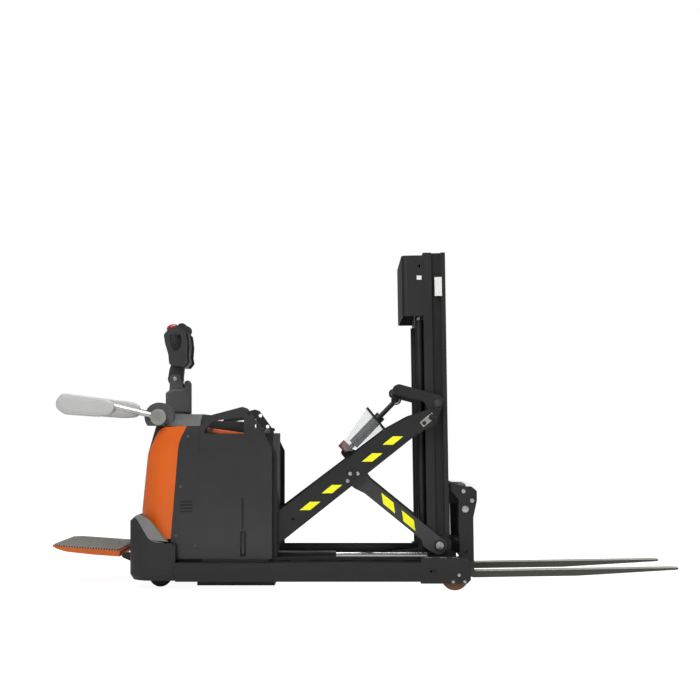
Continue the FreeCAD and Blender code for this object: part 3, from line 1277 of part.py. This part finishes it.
tiller_bore = across("tiller_bore", S.tiller_x, S.tiller_z, 10 + S.pin_play, 60)
keep("tiller", cut_from("tiller_cut", tiller_solid, tiller_bore))

# Every sub-part is written to its own file once all of them are sound

doc.recompute()
unsound = [thing.Name for thing in doc.Objects if {"Invalid", "Error"} & set(thing.State)]
if unsound:
    raise RuntimeError(f"not built: {', '.join(unsound)}")
for thing in NODES:
    if thing.Shape.isNull() or not thing.Shape.isValid():
        raise RuntimeError(f"{thing.Label} has no valid shape")
os.makedirs("parts", exist_ok=True)
for thing in NODES:
    thing.Shape.exportStep(f"parts/{thing.Label}.step")
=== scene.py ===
import math
import bpy
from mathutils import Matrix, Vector


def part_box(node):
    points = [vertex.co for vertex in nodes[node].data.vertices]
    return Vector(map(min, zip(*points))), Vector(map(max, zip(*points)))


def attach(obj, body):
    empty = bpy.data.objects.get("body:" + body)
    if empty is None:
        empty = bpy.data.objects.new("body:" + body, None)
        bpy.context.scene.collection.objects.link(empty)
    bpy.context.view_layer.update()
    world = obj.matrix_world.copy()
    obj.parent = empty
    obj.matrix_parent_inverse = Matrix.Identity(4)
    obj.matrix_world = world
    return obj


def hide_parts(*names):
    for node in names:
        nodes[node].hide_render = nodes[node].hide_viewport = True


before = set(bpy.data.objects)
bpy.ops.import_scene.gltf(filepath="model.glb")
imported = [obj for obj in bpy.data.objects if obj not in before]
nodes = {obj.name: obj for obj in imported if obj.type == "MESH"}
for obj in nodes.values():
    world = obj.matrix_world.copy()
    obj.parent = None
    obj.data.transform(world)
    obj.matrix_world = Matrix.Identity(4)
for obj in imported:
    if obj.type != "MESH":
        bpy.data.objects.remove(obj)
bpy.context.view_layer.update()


# Paint, plastic and metal: one class does the shader arithmetic, so that a finish reads
# as a formula of noise and position in the piece's own coordinates.

class Field:
    """A shader value on a node tree, with + * and a few functions."""

    def __init__(self, tree, socket):
        self.tree = tree
        self.socket = socket

    def made(self, kind, *inputs, **settings):
        node = self.tree.nodes.new(kind)
        for name, value in settings.items():
            setattr(node, name, value)
        for index, value in enumerate(inputs):
            if value is None:
                continue
            if isinstance(value, Field):
                self.tree.links.new(value.socket, node.inputs[index])
            else:
                node.inputs[index].default_value = value
        return node

    def maths(self, operation, *inputs):
        node = self.made("ShaderNodeMath", *inputs, operation=operation)
        return Field(self.tree, node.outputs[0])

    def __add__(self, other):
        return self.maths("ADD", self, other)

    def __mul__(self, other):
        return self.maths("MULTIPLY", self, other)

    def above(self, level, soft=0.02):
        node = self.made("ShaderNodeMapRange", self, level - soft, level + soft, 0.0, 1.0)
        return Field(self.tree, node.outputs[0])

    def noise(self, scale, detail=4.0, rough=0.6):
        node = self.made("ShaderNodeTexNoise", self)
        node.inputs["Scale"].default_value = scale
        node.inputs["Detail"].default_value = detail
        node.inputs["Roughness"].default_value = rough
        return Field(self.tree, node.outputs[0])

    def part(self, axis):
        node = self.made("ShaderNodeSeparateXYZ", self)
        return Field(self.tree, node.outputs["XYZ".index(axis)])

    def mixed(self, low, high):
        """Colour low where the value is 0, high where it is 1."""
        node = self.made("ShaderNodeMix", self, data_type="RGBA")
        for socket, value in ((node.inputs[6], low), (node.inputs[7], high)):
            if isinstance(value, Field):
                self.tree.links.new(value.socket, socket)
            else:
                socket.default_value = (*value, 1.0)
        return Field(self.tree, node.outputs[2])


class Finish:
    """A material: its base colour, roughness and bump are fields or plain values."""

    def __init__(self, name, colour, rough=0.5, metal=0.0, coat=0.0, alpha=1.0):
        self.material = bpy.data.materials.new(name)
        self.material.use_nodes = True
        self.tree = self.material.node_tree
        self.shader = self.tree.nodes["Principled BSDF"]
        self.shader.inputs["Base Color"].default_value = (*colour, 1.0)
        self.shader.inputs["Roughness"].default_value = rough
        self.shader.inputs["Metallic"].default_value = metal
        self.shader.inputs["Coat Weight"].default_value = coat
        self.shader.inputs["Alpha"].default_value = alpha
        self.colour = colour
        place = self.tree.nodes.new("ShaderNodeTexCoord")
        self.place = Field(self.tree, place.outputs["Object"])

    def set(self, name, field):
        self.tree.links.new(field.socket, self.shader.inputs[name])
        return self

    def bump(self, field, distance, strength=0.4):
        node = field.made("ShaderNodeBump")
        node.inputs["Strength"].default_value = strength
        node.inputs["Distance"].default_value = distance
        self.tree.links.new(field.socket, node.inputs["Height"])
        self.tree.links.new(node.outputs["Normal"], self.shader.inputs["Normal"])
        return self

    def worn(self, amount=0.25, scale=9.0):
        """Soft patches of lighter and darker colour, and a little unevenness in the shine."""
        patch = self.place.noise(scale)
        dark = tuple(c * (1 - amount) for c in self.colour)
        light = tuple(min(c * (1 + amount), 1.0) for c in self.colour)
        self.set("Base Color", patch.above(0.5, 0.25).mixed(dark, light))
        rough = self.shader.inputs["Roughness"].default_value
        self.set("Roughness", patch * 0.16 + (rough - 0.08))
        return self


def painted(finish, *names):
    """Gives CAD nodes a finish."""
    for name in names:
        data = nodes[name].data
        data.materials.clear()
        data.materials.append(finish.material)


black_coat = Finish("black powder coat", (0.005, 0.005, 0.005), 0.5, coat=0.0).worn(0.3, 7)
black_coat.bump(black_coat.place.noise(900, 2), 0.0002, 0.25)
painted(black_coat, "base_frame", "battery_case", "arm_brackets", "reach_barrel", "long_arms",
        "mast_foot", "outer_mast", "lift_barrels", "inner_mast", "mast_head_cover",
        "fork_carriage", "tilt_crank", "tilt_barrel", "drive_unit", "platform_brackets",
        "right_leg", "left_leg")
grey_coat = Finish("grey powder coat", (0.030, 0.030, 0.030), 0.45, coat=0.1).worn(0.2, 8)
painted(grey_coat, "short_arms")
panel_coat = Finish("dark grey panel paint", (0.018, 0.018, 0.019), 0.4, coat=0.15).worn(0.12, 5)
panel_coat.bump(panel_coat.place.noise(700, 2), 0.0002, 0.3)
painted(panel_coat, "side_covers", "guard_plates", "dark_side_panels",
        "battery_lid", "tiller")
orange = Finish("orange moulding", (0.62, 0.100, 0.001), 0.36, coat=0.12).worn(0.06, 4)
painted(orange, "orange_cover")
orange_metal = Finish("orange paint", (0.52, 0.095, 0.002), 0.42, coat=0.1).worn(0.1, 6)
painted(orange_metal, "platform")
grain = Finish("black grained plastic", (0.009, 0.009, 0.009), 0.6)
grain.bump(grain.place.noise(1400, 2), 0.0003, 0.5)
painted(grain, "rear_cap", "battery", "tilt_rod", "bumper_skirt")
console_grey = Finish("grey grained plastic", (0.055, 0.055, 0.056), 0.5)
console_grey.bump(console_grey.place.noise(1200, 2), 0.0003, 0.4)
painted(console_grey, "console", "steering_column")
chrome = Finish("ground chrome", (0.72, 0.72, 0.73), 0.16, 1.0)
painted(chrome, "reach_rod", "lift_rods")
zinc = Finish("zinc plate", (0.45, 0.45, 0.43), 0.38, 1.0).worn(0.2, 20)
painted(zinc, "right_guard_arm", "left_guard_arm", "chain_sheaves", "right_castor_yoke", "left_castor_yoke")
chain_steel = Finish("oiled chain", (0.12, 0.11, 0.10), 0.4, 1.0)
links = chain_steel.place.part("Z").maths("SINE", chain_steel.place.part("Z") * 400.0)
chain_steel.bump(links, 0.003, 0.8)
painted(chain_steel, "lift_chains")
# Fork steel: dark on the sides, with a painted highlight on upward faces, uneven in strength.
fork_coat = Finish("fork steel with painted top highlight", (0.045, 0.045, 0.035), 0.5, 0.1)
normal = fork_coat.tree.nodes.new("ShaderNodeNewGeometry")
lit_top_mask = Field(fork_coat.tree, normal.outputs["Normal"]).part("Z").above(0.93, 0.03)
patchy = fork_coat.place.noise(14, 6) * 0.5 + 0.62
fork_coat.set("Base Color", (lit_top_mask * patchy).mixed((0.045, 0.045, 0.035), (0.42, 0.42, 0.37)))
painted(fork_coat, "right_fork", "left_fork")
tread = Finish("brown polyurethane", (0.16, 0.07, 0.025), 0.45).worn(0.15, 12)
painted(tread, "right_load_wheel", "left_load_wheel", "drive_wheel")
dark_tread = Finish("dark tread", (0.03, 0.03, 0.03), 0.6).worn(0.15, 12)
painted(dark_tread, "right_castor_wheel", "left_castor_wheel")
rubber = Finish("ribbed rubber", (0.19, 0.185, 0.165), 0.75).worn(0.1, 10)
ribs = rubber.place.part("X") * 420.0
rubber.bump(ribs.maths("SINE", ribs), 0.003, 0.9)
# Colour follows the ribs: painted shade in the grooves and painted highlight on the ridges, broken up by
# noise.
rib_shade_and_highlight = (ribs.maths("SINE", ribs) + rubber.place.noise(60, 3)).above(0.6, 0.5)
rubber.set("Base Color", rib_shade_and_highlight.mixed((0.05, 0.048, 0.04), (0.34, 0.33, 0.29)))
painted(rubber, "platform_mat")
clear = Finish("clear sheet", (0.75, 0.78, 0.80), 0.06, alpha=0.12)
painted(clear, "carriage_screen", "cylinder_guard")

# Small fittings are modelled where they sit, then their turns and sizes are made part of
# the mesh, and they ride on the body that carries them.

def fitted(name, body, finish):
    """Settles the active piece: applies its transform, names it and fastens it."""
    piece = bpy.context.object
    piece.name = name
    piece.data.name = name
    bpy.ops.object.transform_apply(location=True, rotation=True, scale=True)
    bpy.ops.object.shade_smooth_by_angle(angle=math.radians(35))
    piece.data.materials.clear()
    piece.data.materials.append(finish.material)
    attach(piece, body)
    return piece


def softened(width, segments=2):
    """Bevels every edge of the active piece."""
    piece = bpy.context.object
    bevel = piece.modifiers.new("edges", "BEVEL")
    bevel.width = width
    bevel.segments = segments
    bevel.angle_limit = math.radians(30)
    bpy.ops.object.modifier_apply(modifier="edges")


def slab(x_span, y_span, z_span, turn=0.0, edge=0.0015):
    """A box between two places along each axis, turned about Y by its middle."""
    bpy.ops.object.select_all(action="DESELECT")
    spans = (x_span, y_span, z_span)
    middle = [sum(span) / 2 for span in spans]
    bpy.ops.mesh.primitive_cube_add(size=1, location=middle, rotation=(0, -turn, 0))
    bpy.context.object.scale = [abs(b - a) for a, b in spans]
    bpy.ops.object.transform_apply(location=False, rotation=False, scale=True)
    if edge:
        softened(edge)


def bolt(name, x, z, face, side, radius, body, finish):
    """A hexagon head on a washer, standing out of a side face."""
    bpy.ops.object.select_all(action="DESELECT")
    turned = (math.radians(90), 0, 0)
    bpy.ops.mesh.primitive_cylinder_add(vertices=24, radius=radius * 1.45, depth=0.003,
                                        location=(x, side * (face + 0.0015), z), rotation=turned)
    washer = bpy.context.object
    bpy.ops.mesh.primitive_cylinder_add(vertices=6, radius=radius, depth=radius * 0.8,
                                        location=(x, side * (face + 0.003 + radius * 0.4), z),
                                        rotation=turned)
    washer.select_set(True)
    bpy.ops.object.join()
    softened(radius * 0.08)
    return fitted(name, body, finish)


# Side covers: a latch post on a near-black sheet of painted shade for its recess near the front edge, and a
# strip of painted shade for the slotted grip above it on the painted sheet;
# air slots drawn as strips of painted shade, and cap screws on the housing panel behind.

# Near-black finish: painted shade for the recess, grip slot and air slots, and the dark head of the jack
# screw.
black_and_slot_shade = Finish("black, and painted slot shade", (0.006, 0.006, 0.006), 0.8)
for side_name, side in (("right", -1), ("left", 1)):
    face = 0.475    # outer skin of the side cover
    slab((-0.684, -0.652), (side * face, side * (face + 0.004)), (0.182, 0.318), edge=0.003)
    fitted(f"{side_name}_latch_recess_shade", "chassis", black_and_slot_shade)
    slab((-0.676, -0.660), (side * (face + 0.002), side * (face + 0.012)), (0.190, 0.310),
         edge=0.005)
    fitted(f"{side_name}_latch_post", "chassis", panel_coat)
    slab((-0.676, -0.666), (side * face, side * (face + 0.0025)), (0.330, 0.500), edge=0.001)
    fitted(f"{side_name}_grip_slot_shade", "chassis", black_and_slot_shade)
    for index, z in enumerate((0.425, 0.443, 0.461, 0.479)):
        slab((-1.012, -0.945), (side * 0.470, side * 0.4715), (z - 0.004, z + 0.004), edge=0)
        fitted(f"{side_name}_vent_slot_shade_{index}", "chassis", black_and_slot_shade)
    for index, (x, z) in enumerate(((-0.968, 0.835), (-1.010, 0.560), (-1.036, 0.290),
                                    (-0.930, 0.235))):
        bolt(f"{side_name}_panel_screw_{index}", x, z, 0.470, side, 0.006, "chassis",
             console_grey)
    for index, (x, z) in enumerate(((-0.845, 0.872), (-0.560, 0.872))):
        bolt(f"{side_name}_guard_screw_{index}", x, z, 0.475, side, 0.008, "chassis",
             black_coat)

# Skirt shoulders: the broad grey step between the skirt's side and the cover, sloping down
# towards the leg; one moulding a side, cut round at the rear like the skirt.

step_grey = Finish("grey moulding", (0.17, 0.17, 0.165), 0.5).worn(0.1, 8)
SHOULDER_SIDE = ((-1.262, 0.396), (-1.232, 0.412), (-1.178, 0.384), (-1.138, 0.338),
                 (-1.104, 0.290), (-1.074, 0.264), (-1.076, 0.257), (-1.166, 0.263),
                 (-1.246, 0.388))
for side_name, side in (("right", -1), ("left", 1)):
    bpy.ops.object.select_all(action="DESELECT")
    bpy.ops.mesh.primitive_circle_add(vertices=len(SHOULDER_SIDE), radius=1.0, fill_type="NGON")
    step = bpy.context.object
    for vertex, (x, z) in zip(step.data.vertices, SHOULDER_SIDE):
        vertex.co = (x, side * 0.473, z)
    bpy.ops.object.mode_set(mode="EDIT")
    bpy.ops.mesh.select_all(action="SELECT")
    bpy.ops.mesh.bevel(offset=0.012, segments=3, affect="VERTICES")
    bpy.ops.mesh.select_all(action="SELECT")
    bpy.ops.mesh.extrude_region_move(TRANSFORM_OT_translate={"value": (0, side * 0.054, 0)})
    for angle in (12, 30, 48):
        out = Vector((-math.sin(math.radians(angle)), side * math.cos(math.radians(angle)), 0))
        bpy.ops.mesh.select_all(action="SELECT")
        bpy.ops.mesh.bisect(plane_co=Vector((-1.165, side * 0.398, 0.3)) + out * 0.129,
                            plane_no=out, use_fill=True, clear_outer=True)
    bpy.ops.mesh.select_all(action="SELECT")
    bpy.ops.mesh.normals_make_consistent(inside=False)
    bpy.ops.object.mode_set(mode="OBJECT")
    softened(0.006, 3)
    fitted(f"{side_name}_skirt_shoulder", "chassis", step_grey)

# Hood edge: an orange strip of the hood shows behind the grab rail.

for side_name, side in (("right", -1), ("left", 1)):
    slab((-0.868, -0.665), (side * 0.430, side * 0.436), (0.846, 0.868),
         turn=math.radians(-8), edge=0.002)
    fitted(f"{side_name}_hood_edge", "chassis", orange)

# Legs: cap screws and the jack screw on the wheel box, and short pale zinc strips along its top edge.

for side_name, side in (("right", -1), ("left", 1)):
    for index, (x, z) in enumerate(((0.505, 0.086), (0.536, 0.050), (0.473, 0.050))):
        bolt(f"{side_name}_box_screw_{index}", x, z, 0.540, side, 0.006, "chassis", zinc)
    bolt(f"{side_name}_jack_screw", 0.372, 0.105, 0.540, side, 0.007, "chassis", black_and_slot_shade)
    for index, (x_from, x_to) in enumerate(((0.318, 0.360), (0.405, 0.436), (0.470, 0.500))):
        slab((x_from, x_to), (side * 0.522, side * 0.534), (0.1775, 0.1800), edge=0.001)
        fitted(f"{side_name}_pale_strip_{index}", "chassis", zinc)

# Arms: yellow caution marks rolled on at an angle, and cap screws at the middle pivot.

mark_yellow = Finish("yellow marking", (0.90, 0.90, 0.005), 0.5).worn(0.04, 30)
rise = math.atan2(625.3 - 231.0, 559.0 - 74.0)
LONG_MARKS = ((-0.305, 0.452), (-0.184, 0.545), (0.037, 0.719), (0.151, 0.812))
SHORT_MARKS = ((0.127, 0.465), (0.239, 0.369))
for side_name, side in (("right", -1), ("left", 1)):
    rows = [(x, z, 0.410, "long_arms", rise, 0.018, (0, 1), 0.023) for x, z in LONG_MARKS]
    rows += [(x, z, 0.375, "short_arms", -rise, 0.0205, (1, 0.15), 0.029)
             for x, z in SHORT_MARKS]
    for index, (x, z, face, body, turn, wide, cut, reach) in enumerate(rows):
        slab((x - 0.07, x + 0.07), (side * face, side * (face + 0.0006)),
             (z - wide, z + wide), turn=turn, edge=0)
        bpy.ops.object.mode_set(mode="EDIT")
        for way in (1, -1):
            bpy.ops.mesh.select_all(action="SELECT")
            place = (x + way * cut[0] * reach, side * face, z + way * cut[1] * reach * cut[1])
            bpy.ops.mesh.bisect(plane_co=place, plane_no=(way * cut[0], 0, way * cut[1]),
                                use_fill=True, clear_outer=True)
        bpy.ops.object.mode_set(mode="OBJECT")
        fitted(f"{side_name}_mark_{index}", body, mark_yellow)
    for index, (x, z, face) in enumerate(((-0.084, 0.630, 0.416), (-0.042, 0.630, 0.410),
                                          (-0.098, 0.590, 0.410))):
        bolt(f"{side_name}_middle_screw_{index}", x, z, face, side, 0.007, "long_arms",
             zinc)
    slab((0.299, 0.387), (side * 0.4095, side * 0.4135), (0.909, 0.943), turn=rise, edge=0.004)
    fitted(f"{side_name}_tip_plate", "long_arms", zinc)
    for index, (x, z, face) in enumerate(((0.324, 0.908, 0.4135), (0.3666, 0.9408, 0.418))):
        bolt(f"{side_name}_tip_screw_{index}", x, z, face, side, 0.008, "long_arms",
             black_coat)
    bolt(f"{side_name}_foot_pin_screw", 0.411, 0.231, 0.383, side, 0.015, "mast_foot",
         zinc)
    bolt(f"{side_name}_crank_pin_screw", 0.3986, 1.019, 0.380, side, 0.014, "tilt_crank",
         grey_coat)

# Carriage: screws and a large washer on the shaped side plates. Mast and head cover: a
# plain plate each, left blank.

blank_plate = Finish("blank plate", (0.70, 0.70, 0.68), 0.45)
for side_name, side in (("right", -1), ("left", 1)):
    for index, (x, z, radius) in enumerate(((0.546, 0.530, 0.008), (0.594, 0.478, 0.008),
                                            (0.556, 0.430, 0.013))):
        bolt(f"{side_name}_carriage_screw_{index}", x, z, 0.338, side, radius, "fork_carriage",
             zinc)
slab((0.385, 0.425), (-0.3458, -0.345), (1.615, 1.720), turn=math.radians(0.9), edge=0)
fitted("mast_plate_label", "outer_mast", blank_plate)
slab((0.285, 0.312), (-0.3448, -0.344), (1.705, 1.728), edge=0)
fitted("head_cover_label", "inner_mast", blank_plate)

# Tiller: a red reversing pad at the end of the head, a ribbed thumb wheel each side and
# rubber sleeves over the grips.

signal_red = Finish("red pad", (0.32, 0.006, 0.012), 0.35, coat=0.3)
bpy.ops.object.select_all(action="DESELECT")
bpy.ops.mesh.primitive_uv_sphere_add(segments=32, ring_count=20, radius=1.0,
                                     location=(-1.118, 0, 1.463), rotation=(0, math.radians(-18), 0))
bpy.context.object.scale = (0.034, 0.048, 0.022)
fitted("reversing_pad", "tiller", signal_red)
for side_name, side in (("right", -1), ("left", 1)):
    bpy.ops.object.select_all(action="DESELECT")
    bpy.ops.mesh.primitive_cylinder_add(vertices=36, radius=0.030, depth=0.030,
                                        location=(-1.048, side * 0.105, 1.452),
                                        rotation=(math.radians(90), 0, 0))
    bpy.ops.object.mode_set(mode="EDIT")
    bpy.ops.mesh.select_all(action="SELECT")
    bpy.ops.mesh.inset(thickness=0.0012, depth=-0.0018, use_individual=True)
    bpy.ops.object.mode_set(mode="OBJECT")
    fitted(f"{side_name}_thumb_wheel", "tiller", grain)
    bpy.ops.object.select_all(action="DESELECT")
    bpy.ops.mesh.primitive_cylinder_add(vertices=32, radius=0.0185, depth=0.096,
                                        location=(-1.0775, side * 0.105, 1.436),
                                        rotation=(math.radians(90), 0, 0))
    softened(0.002)
    fitted(f"{side_name}_grip_sleeve", "tiller", rubber)
    bolt(f"{side_name}_tiller_screw", -1.097, 1.167, 0.039, side, 0.008, "steering_column",
         zinc)

# Tilt cylinder: a red-brown valve block beside the barrel's foot.

valve_brown = Finish("red-brown primer", (0.16, 0.035, 0.025), 0.5).worn(0.2, 30)
slab((-0.140, -0.092), (-0.060, -0.034), (0.745, 0.805), turn=math.radians(46), edge=0.003)
fitted("valve_block", "tilt_barrel", valve_brown)

# Guard arm pads: foam on a board under soft grey vinyl, crowned on both broad faces and piped along both
# edges;
# each stands for the plain block of the frame.

pad_vinyl = Finish("grey vinyl", (0.43, 0.43, 0.425), 0.55).worn(0.05, 6)
creases = pad_vinyl.place.noise(26, 5)
pad_vinyl.bump(creases, 0.002, 0.15)
PAD_SIDE = ((-1.690, 1.030), (-1.655, 1.072), (-1.420, 1.042), (-1.371, 1.012),
            (-1.371, 0.975), (-1.400, 0.948), (-1.470, 0.942), (-1.645, 0.955),
            (-1.688, 0.990))
for side_name, side in (("right", -1), ("left", 1)):
    low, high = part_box(f"{side_name}_guard_pad")
    bpy.ops.object.select_all(action="DESELECT")
    bpy.ops.mesh.primitive_circle_add(vertices=len(PAD_SIDE), radius=1.0, fill_type="NGON")
    pad = bpy.context.object
    pad.name = f"{side_name}_arm_pad"
    pad.data.name = pad.name
    for vertex, (x, z) in zip(pad.data.vertices, PAD_SIDE):
        vertex.co = (x, low.y + 0.004, z)
    bpy.ops.object.mode_set(mode="EDIT")
    bpy.ops.mesh.select_all(action="SELECT")
    bpy.ops.mesh.bevel(offset=0.016, segments=4, affect="VERTICES")
    bpy.ops.mesh.select_all(action="SELECT")
    bpy.ops.mesh.extrude_region_move(TRANSFORM_OT_translate={"value": (0, high.y - low.y - 0.008, 0)})
    bpy.ops.mesh.select_all(action="SELECT")
    bpy.ops.mesh.normals_make_consistent(inside=False)
    bpy.ops.object.mode_set(mode="OBJECT")
    softer = pad.modifiers.new("soft edges", "BEVEL")
    softer.width = 0.014
    softer.segments = 6
    softer.angle_limit = math.radians(60)
    bpy.ops.object.modifier_apply(modifier="soft edges")
    bpy.ops.object.mode_set(mode="EDIT")
    bpy.ops.mesh.select_all(action="DESELECT")
    bpy.ops.mesh.select_mode(type="FACE")
    bpy.ops.mesh.select_face_by_sides(number=20, type="GREATER")
    for share, out_by in ((0.001, -0.001), (0.0015, 0.001), (0.006, 0.001), (0.006, 0.0005)):
        bpy.ops.mesh.inset(thickness=share, depth=out_by, use_individual=True)
    bpy.ops.object.mode_set(mode="OBJECT")
    bpy.ops.object.shade_smooth_by_angle(angle=math.radians(50))
    pad.data.materials.append(pad_vinyl.material)
    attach(pad, f"{side_name}_guard_arm")
    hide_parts(f"{side_name}_guard_pad")

# Camera: level, at the height the horizon has in the photograph, far enough to flatten
# the machine a little.

bpy.ops.object.camera_add(location=(-0.085, -7.61, 0.870), rotation=(math.radians(90), 0, 0))
camera = bpy.context.object
camera.data.sensor_width = 36.0
camera.data.lens = 1308 / 700 * 36.0
camera.data.shift_y = 80 / 700
bpy.context.scene.camera = camera

# Light: a pale floor and backdrop, one large soft box over the near side and a weaker
# fill from the right.

bpy.ops.mesh.primitive_plane_add(size=60, location=(0, 0, 0))
floor = bpy.context.object
floor.name = "floor"
floor_white = bpy.data.materials.new("floor white")
floor_white.use_nodes = True
floor_tree = floor_white.node_tree
floor_shader = floor_tree.nodes["Principled BSDF"]
floor_shader.inputs["Base Color"].default_value = (0.85, 0.85, 0.85, 1)
floor_shader.inputs["Roughness"].default_value = 0.9
glow = floor_tree.nodes.new("ShaderNodeEmission")
glow.inputs["Strength"].default_value = 1.44
seen = floor_tree.nodes.new("ShaderNodeLightPath")
share = floor_tree.nodes.new("ShaderNodeMath")
share.operation = "MULTIPLY"
share.inputs[1].default_value = 0.66
mixer = floor_tree.nodes.new("ShaderNodeMixShader")
floor_tree.links.new(seen.outputs["Is Camera Ray"], share.inputs[0])
floor_tree.links.new(share.outputs[0], mixer.inputs[0])
floor_tree.links.new(floor_shader.outputs[0], mixer.inputs[1])
floor_tree.links.new(glow.outputs[0], mixer.inputs[2])
floor_tree.links.new(mixer.outputs[0], floor_tree.nodes["Material Output"].inputs["Surface"])
floor.data.materials.append(floor_white)

world = bpy.data.worlds.new("studio")
bpy.context.scene.world = world
world.use_nodes = True
sky = world.node_tree.nodes["Background"]
sky.inputs["Color"].default_value = (1, 1, 1, 1)
looking = world.node_tree.nodes.new("ShaderNodeLightPath")
level = world.node_tree.nodes.new("ShaderNodeMapRange")
level.inputs["To Min"].default_value = 0.22
level.inputs["To Max"].default_value = 1.0
world.node_tree.links.new(looking.outputs["Is Camera Ray"], level.inputs["Value"])
world.node_tree.links.new(level.outputs[0], sky.inputs["Strength"])
for name, place, aim, size, power in (
        ("key", (-2.5, -5.0, 6.0), (0, 0, 0.7), 4.0, 400),
        ("fill", (5.5, -4.0, 3.0), (0, 0, 0.7), 3.0, 120),
        ("top", (0.0, 1.5, 6.5), (0, 0, 0.7), 5.0, 300)):
    way = Vector(aim) - Vector(place)
    bpy.ops.object.light_add(type="AREA", location=place,
                             rotation=way.to_track_quat("-Z", "Y").to_euler())
    lamp = bpy.context.object
    lamp.name = name
    lamp.data.size = size
    lamp.data.energy = power
bpy.context.scene.view_settings.view_transform = "Standard"
